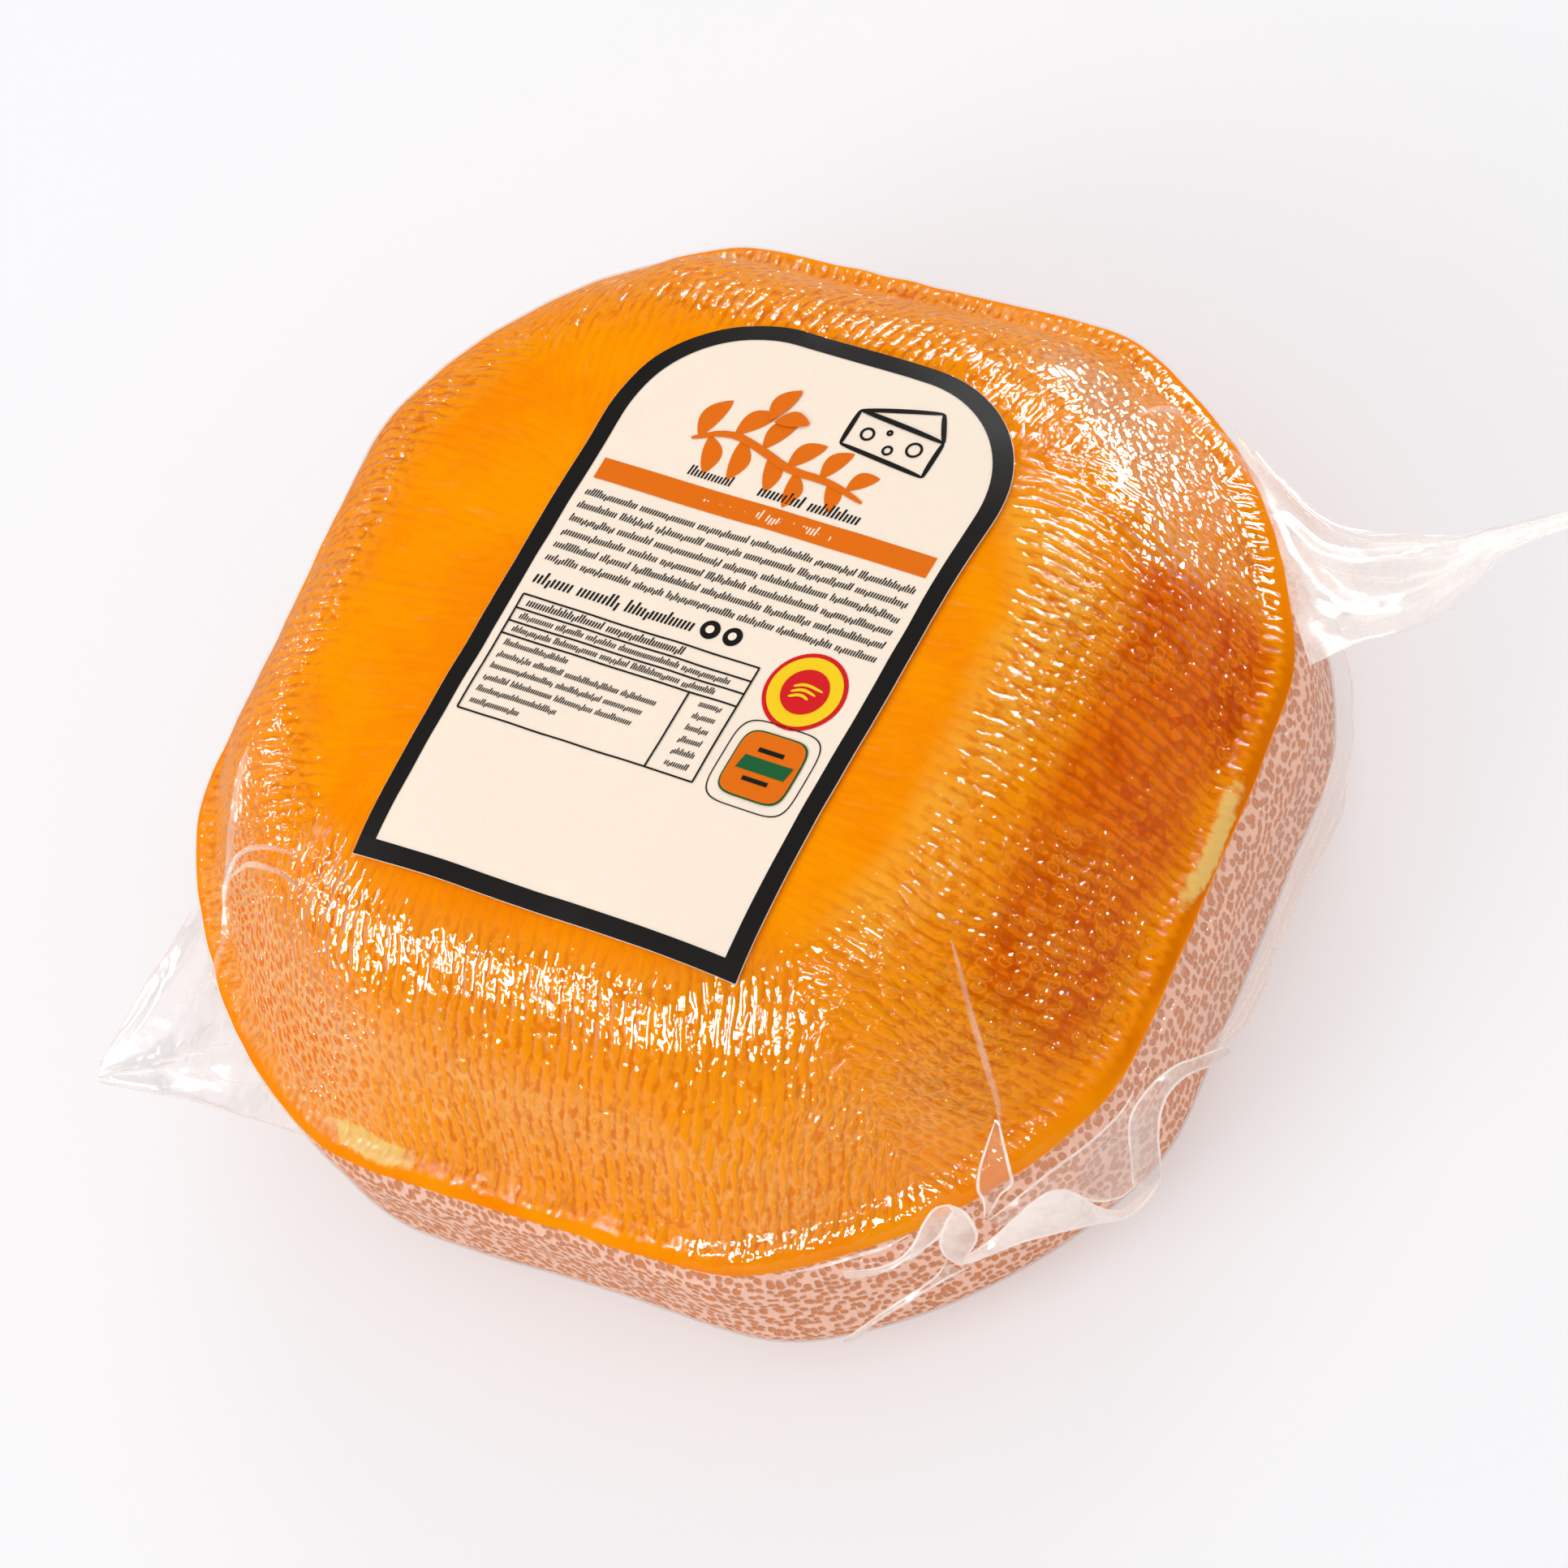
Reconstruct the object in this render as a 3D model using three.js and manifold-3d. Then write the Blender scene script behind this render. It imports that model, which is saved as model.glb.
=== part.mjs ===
// Vacuum-packed cheese wheel: a rounded square pressed cheese in a clear shrink film bag, with a
// label on the film. Millimetres, +Z up. The origin is the middle of the underside, on the bag.
// +X is the label's right and +Y is its arched end.

import * as THREE from 'three';
import { mergeVertices } from 'three/addons/utils/BufferGeometryUtils.js';
import Module from 'manifold-3d';

const wasm = await Module();
wasm.setup();

// Cheese
const halfWidth = 92; // centre to a flat side, at the lip
const flatLength = 76; // straight run of each side
const cornerBulge = 8; // how far a corner bows out past its chord
const lipHeight = 45; // underside of the cheese to its widest line
const baseRadius = 18; // round lower edge
const wallDraft = 0.3; // how far the wall draws in below the lip
const rimWidth = 4; // smooth band from the lip in to the foot of the dome
const rimRise = 3.5;
const crownRise = 40.5; // foot of the dome to the top
const domeFullness = 6.8; // higher is a flatter top with a tighter shoulder
const domeFoot = 1.25; // over 1, the foot of the dome runs out flat

// Film bag
const gap = 0.3; // clearance between touching pieces
const film = 0.8; // wall of the bag
const weld = 1.2; // two plies sealed flat together

const earBase = 54; // flat ear at the corner between -X and -Y
const earTip = 8;
const earLength = 26;
const earShift = 4; // from the corner's middle towards -Y
const earTurn = -6; // degrees from square to the lip
const earDroop = 1;

const tailBase = 40; // gathered mouth, at the corner between +X and +Y
const tailEnd = 10;
const tailLength = 66;
const tailShift = -4; // from the corner's middle towards +X
const tailTurn = -32; // degrees from square to the lip, where it leaves the corner
const tailEndTurn = -21; // the same, at its free end
const tailSag = 14;
const tailDroop = 2;
const tailRootThickness = 6;
const tailEndThickness = 5;

const flangeDrop = 20; // end seal, folded down against the +X side, where it is deepest
const flangeEndDrop = 13;
const flangeStandOff = 4; // its free edge clears the wall by this much at the deep end
const flangeEndStandOff = 2;
const flangeBelowLip = 6;
const flangeStart = 16; // how far it reaches past the +Y end of the +X side
const flangeReach = 36; // how far it goes round the corner between +X and -Y
const ruffleDepth = 3; // crumpled end at that corner
const ruffleWaves = 3;

// Label
const labelWidth = 75;
const labelHeight = 113.5;
const labelCorner = 24.5; // round corners of its arched end
const labelThickness = 0.5;
const labelShiftX = 8; // off the middle of the top
const labelShiftY = 3.4;
const labelTurn = -2.4; // degrees
const labelSkew = 4; // degrees that it leans to +X, drawn askew as the film shrank

// Facets
const cornerSegments = 4; // half of the steps round one corner
const edgeSteps = 5;
const rimSteps = 3;
const domeSteps = 12;

// Worked out from these
const rootDepth = film + gap + cornerBulge / 2; // fins start inside the bag's wall
const bagInside = gap;
const bagOutside = gap + film;
const labelInside = bagOutside + gap;
const cheeseBase = bagOutside; // height of the cheese's underside
const lip = cheeseBase + lipHeight;
const up = new THREE.Vector3(0, 0, 1);

// The lip seen from above: four straight sides joined by shallow corner arcs, anticlockwise from
// the +Y end of the +X side.
function lipPath() {
  const chord = (halfWidth - flatLength / 2) * Math.SQRT2;
  const radius = chord ** 2 / (8 * cornerBulge) + cornerBulge / 2;
  const out = (halfWidth + flatLength / 2) / Math.SQRT2 + cornerBulge - radius;
  const half = Math.asin(chord / 2 / radius);
  const path = new THREE.Path();
  for (let corner = 0; corner < 4; corner++) {
    const angle = (corner + 0.5) * Math.PI / 2;
    path.absarc(out * Math.cos(angle), out * Math.sin(angle), radius, angle - half, angle + half);
  }
  path.closePath();
  return path;
}

const outline = lipPath();
const around = outline.getLength();
const cornerRun = around / 4 - flatLength;

// A place on the lip, this far anticlockwise from the +Y end of the +X side.
function onLip(distance) {
  const share = THREE.MathUtils.euclideanModulo(distance / around, 1);
  const point = outline.getPointAt(share);
  const along = outline.getTangentAt(share);
  return { point, out: new THREE.Vector2(along.y, -along.x) };
}

// Half width and height of the cheese's side, from the flat underside up over the dome.
function sideProfile() {
  const wall = halfWidth - wallDraft;
  const points = [];
  for (let i = 0; i <= edgeSteps; i++) {
    const angle = (i / edgeSteps) * Math.PI / 2;
    points.push(new THREE.Vector2(
      wall - baseRadius * (1 - Math.sin(angle)),
      cheeseBase + baseRadius * (1 - Math.cos(angle)),
    ));
  }
  for (let i = 0; i <= rimSteps; i++) {
    const angle = (i / rimSteps) * THREE.MathUtils.degToRad(75);
    points.push(new THREE.Vector2(
      halfWidth - rimWidth * (1 - Math.cos(angle)),
      lip + rimRise * Math.sin(angle),
    ));
  }
  for (let i = 0; i < domeSteps; i++) {
    const angle = (i / domeSteps) * Math.PI / 2;
    points.push(new THREE.Vector2(
      (halfWidth - rimWidth) * Math.cos(angle) ** (2 / domeFullness),
      lip + rimRise + crownRise * Math.sin(angle) ** (2 * domeFoot),
    ));
  }
  return points;
}

// The same profile moved outwards, square to itself.
function grownProfile(grow) {
  const points = sideProfile();
  const last = points.length - 1;
  return points.map((point, i) => {
    const along = points[Math.min(i + 1, last)].clone().sub(points[Math.max(i - 1, 0)]).normalize();
    const out = i === 0 ? new THREE.Vector2(0, -1) : i === last ? new THREE.Vector2(0, 1)
      : new THREE.Vector2(along.y, -along.x);
    return point.clone().addScaledVector(out, grow);
  });
}

// A closed skin over rings of equally many points, each end capped from its middle.
function skin(rings) {
  const count = rings[0].length;
  const vertices = rings.flat();
  const triangles = [];
  for (let i = 0; i + 1 < rings.length; i++) {
    for (let j = 0; j < count; j++) {
      const k = (j + 1) % count;
      const low = i * count;
      const high = low + count;
      triangles.push(low + j, low + k, high + k, low + j, high + k, high + j);
    }
  }
  for (const end of [0, rings.length - 1]) {
    const middle = new THREE.Vector3();
    rings[end].forEach((point) => middle.addScaledVector(point, 1 / count));
    vertices.push(middle);
    for (let j = 0; j < count; j++) {
      const k = (j + 1) % count;
      const edge = end === 0 ? [k, j] : [j, k];
      triangles.push(vertices.length - 1, end * count + edge[0], end * count + edge[1]);
    }
  }
  const geometry = new THREE.BufferGeometry().setFromPoints(vertices);
  geometry.setIndex(triangles);
  return solid(geometry);
}

function solid(geometry) {
  geometry.deleteAttribute('normal');
  geometry.deleteAttribute('uv');
  const merged = mergeVertices(geometry);
  return new wasm.Manifold(new wasm.Mesh({
    numProp: 3,
    vertProperties: new Float32Array(merged.attributes.position.array),
    triVerts: new Uint32Array(merged.index.array),
  }));
}

// The cheese's own shape, grown outwards by this much.
function wheelSolid(grow) {
  const flat = outline.getPoints(cornerSegments).slice(0, -1);
  return skin(grownProfile(grow).map(({ x, y }) => flat.map((point) => {
    const share = x / halfWidth;
    return new THREE.Vector3(point.x * share, point.y * share, y);
  })));
}

// A flattened tube or plate along a curve: each section is a flat oval lying across the curve.
function sweep(curve, steps, widthAt, thicknessAt, sides) {
  const rings = [];
  for (let i = 0; i <= steps; i++) {
    const share = i / steps;
    const point = curve.getPointAt(share);
    const along = curve.getTangentAt(share);
    const across = new THREE.Vector3().crossVectors(up, along).normalize();
    const over = new THREE.Vector3().crossVectors(along, across);
    const ring = [];
    for (let j = 0; j < sides; j++) {
      const angle = ((j + 0.5) / sides) * Math.PI * 2;
      ring.push(point.clone()
        .addScaledVector(across, Math.cos(angle) * widthAt(share) / 2)
        .addScaledVector(over, Math.sin(angle) * thicknessAt(share) / 2));
    }
    rings.push(ring);
  }
  return skin(rings);
}

// A curve out of the lip from inside the bag's wall: it leaves at one angle and ends at another,
// sagging between them.
function finCurve(distance, depth, length, turns, sag, droop) {
  const { point, out } = onLip(distance);
  const place = (reach, turn, drop) => {
    const aside = out.clone().rotateAround(new THREE.Vector2(), THREE.MathUtils.degToRad(turn));
    const { x, y } = point.clone().addScaledVector(aside, reach);
    return new THREE.Vector3(x, y, lip - drop);
  };
  return new THREE.CubicBezierCurve3(
    place(-depth, 0, 0),
    place(length * 0.35, turns[0], sag),
    place(length * 0.7, turns[1], sag),
    place(length, turns[1], droop),
  );
}

function earSolid() {
  const middle = 2.5 * cornerRun + 2 * flatLength + earShift;
  const curve = finCurve(middle, rootDepth, earLength, [0, earTurn], earDroop / 2, earDroop);
  const width = (share) => THREE.MathUtils.lerp(earBase, earTip, share ** 1.2);
  return sweep(curve, 5, width, () => weld * Math.SQRT2, 4);
}

// The gathered mouth of the bag. Its inside, less the film's wall, is the way into the bag.
function tailSolid(wall, reach) {
  const middle = cornerRun / 2 + tailShift;
  const turns = [tailTurn, tailEndTurn];
  const depth = rootDepth + reach;
  const curve = finCurve(middle, depth, tailLength + reach, turns, tailSag, tailDroop);
  const width = (share) => THREE.MathUtils.lerp(tailBase, tailEnd, share ** 0.7) - 2 * wall;
  const thickness = (share) => (
    THREE.MathUtils.lerp(tailRootThickness, tailEndThickness, share) - 2 * wall
  );
  return sweep(curve, 8, width, thickness, 8);
}

// The end seal, hanging from just under the lip along the +X side and round the next corner, where
// it crumples.
function flangeSolid() {
  const end = -flatLength - flangeReach;
  const steps = 24;
  const rings = [];
  for (let i = 0; i <= steps; i++) {
    const share = i / steps;
    const distance = THREE.MathUtils.lerp(flangeStart, end, share);
    const { point, out } = onLip(distance);
    const roundCorner = Math.max(0, (-flatLength - distance) / flangeReach);
    const wave = Math.sin(roundCorner * ruffleWaves * Math.PI) ** 2;
    const standOff = THREE.MathUtils.lerp(flangeStandOff, flangeEndStandOff, share);
    const clear = bagOutside + standOff + ruffleDepth * wave;
    const top = lip - flangeBelowLip;
    const bottom = top - THREE.MathUtils.lerp(flangeDrop, flangeEndDrop, share);
    rings.push([
      [bagOutside - film / 2, top - weld],
      [clear - weld, bottom],
      [clear, bottom],
      [bagOutside - film / 2, top],
    ].map(([away, height]) => {
      const place = point.clone().addScaledVector(out, away);
      return new THREE.Vector3(place.x, place.y, height);
    }));
  }
  return skin(rings);
}

function bagSolid() {
  return wheelSolid(bagOutside)
    .add(earSolid())
    .add(tailSolid(0, 0))
    .add(flangeSolid())
    .subtract(wheelSolid(bagInside))
    .subtract(tailSolid(film, 2));
}

// The label's outline: square corners at the -Y end and round ones at the arched +Y end.
function labelSolid() {
  const right = labelWidth / 2;
  const far = labelHeight / 2;
  const shape = new THREE.Shape();
  shape.moveTo(-right, -far);
  shape.lineTo(right, -far);
  shape.absarc(right - labelCorner, far - labelCorner, labelCorner, 0, Math.PI / 2);
  shape.absarc(labelCorner - right, far - labelCorner, labelCorner, Math.PI / 2, Math.PI);
  shape.closePath();
  const blank = new THREE.ExtrudeGeometry(shape, {
    depth: crownRise * 2, bevelEnabled: false, curveSegments: 8,
  });
  const lean = Math.tan(THREE.MathUtils.degToRad(labelSkew));
  blank.applyMatrix4(new THREE.Matrix4().makeShear(0, 0, lean, 0, 0, 0));
  blank.rotateZ(THREE.MathUtils.degToRad(labelTurn));
  blank.translate(labelShiftX, labelShiftY, lip);
  return wheelSolid(labelInside + labelThickness).subtract(wheelSolid(labelInside))
    .intersect(solid(blank));
}

const object = new THREE.Group();

function addPiece(name, body, material) {
  const { vertProperties, triVerts } = body.getMesh();
  const geometry = new THREE.BufferGeometry();
  geometry.setAttribute('position', new THREE.BufferAttribute(new Float32Array(vertProperties), 3));
  geometry.setIndex(new THREE.BufferAttribute(new Uint32Array(triVerts), 1));
  geometry.computeVertexNormals();
  const mesh = new THREE.Mesh(geometry, material);
  mesh.name = name;
  object.add(mesh);
}

const rind = new THREE.MeshStandardMaterial({ color: 0xe8860c, roughness: 0.45, metalness: 0 });
const clearFilm = new THREE.MeshStandardMaterial({
  color: 0xf4ece4, roughness: 0.12, metalness: 0, transparent: true, opacity: 0.3,
});
const paper = new THREE.MeshStandardMaterial({ color: 0xf5efd6, roughness: 0.5, metalness: 0 });

addPiece('cheese_wheel', wheelSolid(0), rind);
addPiece('vacuum_bag', bagSolid(), clearFilm);
addPiece('top_label', labelSolid(), paper);

export default object;
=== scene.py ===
# Vacuum packed cheese: an orange pillow-shaped wheel in clear shrink film, with an arched label on top.
# Blender units are metres. Sizes in the dictionaries are millimetres unless a note says otherwise.

import bpy
import math
import numpy as np
from mathutils.bvhtree import BVHTree
from mathutils import Matrix, Vector


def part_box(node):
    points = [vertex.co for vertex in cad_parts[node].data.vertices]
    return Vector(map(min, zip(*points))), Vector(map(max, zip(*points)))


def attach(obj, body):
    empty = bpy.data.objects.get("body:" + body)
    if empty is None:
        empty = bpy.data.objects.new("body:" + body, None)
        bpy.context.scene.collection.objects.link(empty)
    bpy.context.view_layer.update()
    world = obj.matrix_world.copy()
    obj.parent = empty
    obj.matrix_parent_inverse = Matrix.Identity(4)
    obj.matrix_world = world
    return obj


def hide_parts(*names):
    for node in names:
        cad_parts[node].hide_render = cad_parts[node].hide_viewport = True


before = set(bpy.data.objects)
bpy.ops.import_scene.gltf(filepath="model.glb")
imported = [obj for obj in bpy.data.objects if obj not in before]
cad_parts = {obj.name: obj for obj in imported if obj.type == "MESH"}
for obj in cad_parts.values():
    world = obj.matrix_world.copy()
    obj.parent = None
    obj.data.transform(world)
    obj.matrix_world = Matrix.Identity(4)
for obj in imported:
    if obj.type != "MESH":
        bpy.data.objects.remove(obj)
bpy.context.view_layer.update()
mm = 0.001
sharpAngle = 55  # degrees between faces where shading breaks


# Number tools

def ease(x, low, high):
    t = np.clip((x - low) / (high - low), 0, 1)
    return t * t * (3 - 2 * t)


def mix(a, b, share):
    return a + (b - a) * share


def bump(x, width):  # a soft hill, one high at nought
    return np.exp(-(x / width) ** 2)


def latticeValue(cells, seed):  # a fixed number from -1 to 1 for each whole-number cell
    mixed = cells[..., 0] * 73856093 + cells[..., 1] * 19349663 + cells[..., 2] * 83492791
    mixed = mixed + seed * 2654435
    mixed = (mixed ^ (mixed >> 13)) * 1274126177 & 0xFFFFFFFF
    return ((mixed ^ (mixed >> 16)) & 0xFFFF) / 32767.5 - 1


def softNoise(places, size, seed):  # smooth noise from -1 to 1, in lumps of this size
    seed = int(seed * 10)
    scaled = np.asarray(places, float) / size + 1000  # keeps the cells above nought
    cell = np.floor(scaled).astype(np.int64)
    part = scaled - cell
    part = part * part * (3 - 2 * part)
    total = 0
    for corner in range(8):
        step = np.array([corner & 1, corner >> 1 & 1, corner >> 2])
        share = np.prod(np.where(step, part, 1 - part), -1)
        total = total + share * latticeValue(cell + step, seed)
    return total


def layeredNoise(places, size, seed, layers=3):
    return sum(softNoise(places, size / 2 ** i, seed + i) / 2 ** i for i in range(layers))


def unit(vectors):
    return vectors / np.maximum(np.linalg.norm(vectors, axis=-1, keepdims=True), 1e-9)


def stack(*parts):
    return np.stack(np.broadcast_arrays(*parts), -1).astype(float)


# Mesh tools

def buildPiece(name, points, faces, materials, faceSlots=None):  # points in mm
    mesh = bpy.data.meshes.new(name)
    mesh.from_pydata((np.asarray(points) * mm).tolist(), [], faces)
    mesh.shade_smooth()
    for material in materials:
        mesh.materials.append(material)
    if faceSlots is not None:
        mesh.polygons.foreach_set("material_index", np.asarray(faceSlots, np.int32))
    mesh.update()
    mesh.set_sharp_from_angle(angle=math.radians(sharpAngle))
    piece = bpy.data.objects.new(name, mesh)
    bpy.context.scene.collection.objects.link(piece)
    return piece


def storeValues(piece, name, values, domain="POINT"):
    layer = piece.data.attributes.new(name, "FLOAT_VECTOR", domain)
    layer.data.foreach_set("vector", np.asarray(values, np.float32).ravel())


def gridFaces(rows, columns, first=0):
    return [
        (a, a + 1, a + columns + 1, a + columns)
        for i in range(rows - 1)
        for a in range(first + i * columns, first + i * columns + columns - 1)
    ]


def gridNormals(grid):
    down = np.gradient(grid, axis=0)
    across = np.gradient(grid, axis=1)
    return unit(np.cross(down, across))


def closedSheet(grid, thickness):  # a thin closed skin over a grid of points, its vertices and faces
    rows, columns = grid.shape[:2]
    normals = gridNormals(grid)
    front = grid + normals * (thickness / 2)
    back = grid - normals * (thickness / 2)
    count = rows * columns
    faces = gridFaces(rows, columns)
    faces += [tuple(reversed(face)) for face in gridFaces(rows, columns, count)]
    rim = list(range(columns))
    rim += [i * columns + columns - 1 for i in range(1, rows)]
    rim += [(rows - 1) * columns + j for j in range(columns - 2, -1, -1)]
    rim += [i * columns for i in range(rows - 2, 0, -1)]
    for a, b in zip(rim, rim[1:] + rim[:1]):
        faces.append((b, a, a + count, b + count))
    return np.concatenate([front.reshape(-1, 3), back.reshape(-1, 3)]), faces


class Skins:  # gathers thin closed skins into one mesh
    def __init__(self):
        self.points = []
        self.faces = []
        self.shares = []
        self.total = 0

    def gather(self, grid, thickness):
        points, faces = closedSheet(grid, thickness)
        self.points.append(points)
        self.faces += [tuple(index + self.total for index in face) for face in faces]
        self.total += len(points)
        return len(faces)


# The wheel's own shape

wheelLow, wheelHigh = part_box("cheese_wheel")
wheelShape = {
    "flatLength": 76,  # straight run of the lip on each side
    "cornerBulge": 8,
    "cornerSoftness": 5,  # rounding where the straight runs meet the corner arcs
    "lipHeight": 45,  # above the underside
    "baseRadius": 18,
    "wallDraft": 0.3,
    "rimWidth": 4,
    "rimRise": 3.5,
    "domeFullness": 6.8,
    "domeFoot": 2.5,
    "rimBand": 5,  # smooth band above the lip, up to its groove
    "grooveDepth": 0.3,
    "rimRoll": 0.15,
    "rimLump": 0.3,
    "underLip": 0.9,  # hollow just below the lip
    "wallBelly": 0.5,
    "sway": 0.55,  # slow unevenness of the rind
    "dimple": 0.2,
    "crownSpare": 0.6,  # the middle of the crown is this much fuller than the plain box
}
halfWidth = wheelHigh.x / mm
baseZ = wheelLow.z / mm
lipZ = baseZ + wheelShape["lipHeight"]
crownRise = wheelHigh.z / mm + wheelShape["crownSpare"] - lipZ - wheelShape["rimRise"]


def quarterOutline():  # one side of the lip, from diagonal to diagonal, evenly spaced
    flat = wheelShape["flatLength"] / 2
    chord = (halfWidth - flat) * math.sqrt(2)
    bulge = wheelShape["cornerBulge"]
    radius = chord ** 2 / (8 * bulge) + bulge / 2
    centre = ((halfWidth + flat) / math.sqrt(2) + bulge - radius) / math.sqrt(2)
    half = math.asin(chord / 2 / radius)
    steps = 400
    angles = np.linspace(math.pi / 4 - half, math.pi / 4 + half, steps)
    arc = np.stack([centre + radius * np.cos(angles), centre + radius * np.sin(angles)], -1)
    line = np.stack([np.full(steps, halfWidth), np.linspace(-flat, flat, steps + 1)[:-1]], -1)
    quarter = np.concatenate([line, arc[:-1]])
    whole = []
    for turn in range(4):
        cos, sin = [(1, 0), (0, 1), (-1, 0), (0, -1)][turn]
        whole.append(quarter @ np.array([[cos, sin], [-sin, cos]]))
    loop = np.concatenate(whole)
    gaps = np.linalg.norm(np.roll(loop, -1, 0) - loop, axis=1)
    travelled = np.concatenate([[0], np.cumsum(gaps)])
    closed = np.concatenate([loop, loop[:1]])
    count = 2400
    even = np.linspace(0, travelled[-1], count, endpoint=False)
    xs = np.interp(even, travelled, closed[:, 0])
    ys = np.interp(even, travelled, closed[:, 1])
    spread = wheelShape["cornerSoftness"] / (travelled[-1] / count)
    kernel = np.exp(-0.5 * (np.fft.fftfreq(count) * count / spread) ** 2)
    share = np.fft.fft(kernel / kernel.sum())
    xs = np.fft.ifft(np.fft.fft(xs) * share).real
    ys = np.fft.ifft(np.fft.fft(ys) * share).real
    middle = int(round(flat / (travelled[-1] / count)))
    reach = count // 8
    picked = np.arange(middle - reach, middle + reach + 1) % count
    return np.stack([xs[picked], ys[picked]], -1), travelled[-1] / 4


outlineRow, sideRun = quarterOutline()
outlineT = np.linspace(-1, 1, len(outlineRow))
outlineSlope = unit(np.gradient(outlineRow, axis=0))


def profileTable():  # run above the lip (below is negative), half width, height
    rimAngles = np.radians(np.linspace(0, 75, 12))
    rimR = halfWidth - wheelShape["rimWidth"] * (1 - np.cos(rimAngles))
    rimH = lipZ + wheelShape["rimRise"] * np.sin(rimAngles)
    full = wheelShape["domeFullness"] / 2
    domeWidth = halfWidth - wheelShape["rimWidth"]
    widest = 0.995  # evenly spaced across up to here, then by angle down to the rim
    widths = np.linspace(0, widest, 600)
    outer = np.linspace(0, math.acos(widest ** full), 60)[:-1]
    angles = np.concatenate([outer, np.arccos(widths[::-1] ** full)])
    domeR = domeWidth * np.cos(angles) ** (1 / full)
    domeR[-1] = 0
    domeH = lipZ + wheelShape["rimRise"] + crownRise * np.sin(angles) ** wheelShape["domeFoot"]
    top = np.stack([np.concatenate([rimR, domeR]), np.concatenate([rimH, domeH])], -1)
    wall = halfWidth - wheelShape["wallDraft"]
    edge = np.radians(np.linspace(90, 0, 24))
    radius = wheelShape["baseRadius"]
    low = np.stack([wall - radius * (1 - np.sin(edge)), baseZ + radius * (1 - np.cos(edge))], -1)
    low = np.concatenate([low, [[1, baseZ]]])
    line = np.concatenate([low[::-1], top])
    run = np.concatenate([[0], np.cumsum(np.linalg.norm(np.diff(line, axis=0), axis=1))])
    run -= run[len(low)]
    return run, line[:, 0], line[:, 1], -run[1]


profileRun, profileR, profileZ, wallRun = profileTable()
domeRun = profileRun[-1]


def wheelPoint(side, t, run, out=0.0):  # side 0 to 3 anticlockwise from +X, t from -1 to 1 along it
    step = 0.6
    radius = np.interp(run, profileRun, profileR)
    height = np.interp(run, profileRun, profileZ)
    ahead = np.interp(run + step, profileRun, profileR), np.interp(run + step, profileRun, profileZ)
    behind = np.interp(run - step, profileRun, profileR), np.interp(run - step, profileRun, profileZ)
    planX = np.interp(t, outlineT, outlineRow[:, 0])
    planY = np.interp(t, outlineT, outlineRow[:, 1])
    slopeX = np.interp(t, outlineT, outlineSlope[:, 0])
    slopeY = np.interp(t, outlineT, outlineSlope[:, 1])
    share = radius / halfWidth
    rise = (ahead[0] - behind[0]) / halfWidth
    along = stack(slopeX, slopeY, 0 * slopeX)
    climb = stack(planX * rise, planY * rise, ahead[1] - behind[1])
    normal = unit(np.cross(along, climb))
    place = stack(planX * share, planY * share, height) + normal * out
    return turned(place, side), turned(normal, side)


def turned(vectors, side):
    side = np.asarray(side)
    cos = np.choose(side, [1, 0, -1, 0])
    sin = np.choose(side, [0, 1, 0, -1])
    x, y, z = vectors[..., 0], vectors[..., 1], vectors[..., 2]
    return stack(x * cos - y * sin, x * sin + y * cos, z)


def lipPlace(distance):  # side and t for a distance in mm anticlockwise from the middle of the +X side
    distance = np.asarray(distance, float)
    side = np.floor((distance + sideRun / 2) / sideRun).astype(int)
    return side % 4, (distance - side * sideRun) / (sideRun / 2)


def signedDistance(distance):  # at most half a turn either way from the middle of the +X side
    return (distance + 2 * sideRun) % (4 * sideRun) - 2 * sideRun


def onWheel(distance, run, out=0.0):  # a point on the rind by distance round the lip and run above it
    side, t = lipPlace(distance)
    run = np.asarray(run, float) + 0 * t
    place, normal = wheelPoint(side, t, run, out)
    return place + normal * rindSway(place, run)[..., None], normal


def rindSway(places, run):  # how far the rind stands out from its plain shape
    shape = wheelShape
    band = shape["rimBand"]
    sway = shape["sway"] * layeredNoise(places, 34, 11)
    sway = sway + shape["dimple"] * softNoise(places, 6, 17) * ease(run, 8, 16)
    sway = sway - shape["grooveDepth"] * bump(run - band, 2.2)
    rolled = shape["rimRoll"] + shape["rimLump"] * softNoise(places, 5, 23)
    sway = sway + rolled * bump(run - band / 2, 3.5)
    sway = sway - shape["underLip"] * bump(run + 3.5, 2.2) + shape["wallBelly"] * bump(run + 11, 6)
    return sway * ease(places[..., 2], baseZ + 0.2, baseZ + 8)


def domeHeight(x, y):  # height of the plain dome over a plan point
    angle = np.arctan2(y, x)
    side = np.floor((angle + math.pi / 4) / (math.pi / 2)).astype(int) % 4
    local = turned(stack(x, y, 0 * x), (4 - side) % 4)
    rowAngle = np.arctan2(outlineRow[:, 1], outlineRow[:, 0])
    t = np.interp(np.arctan2(local[..., 1], local[..., 0]), rowAngle, outlineT)
    reach = np.hypot(np.interp(t, outlineT, outlineRow[:, 0]), np.interp(t, outlineT, outlineRow[:, 1]))
    radius = np.hypot(x, y) / reach * halfWidth
    top = profileRun >= 0
    return np.interp(radius, profileR[top][::-1], profileZ[top][::-1])


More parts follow.
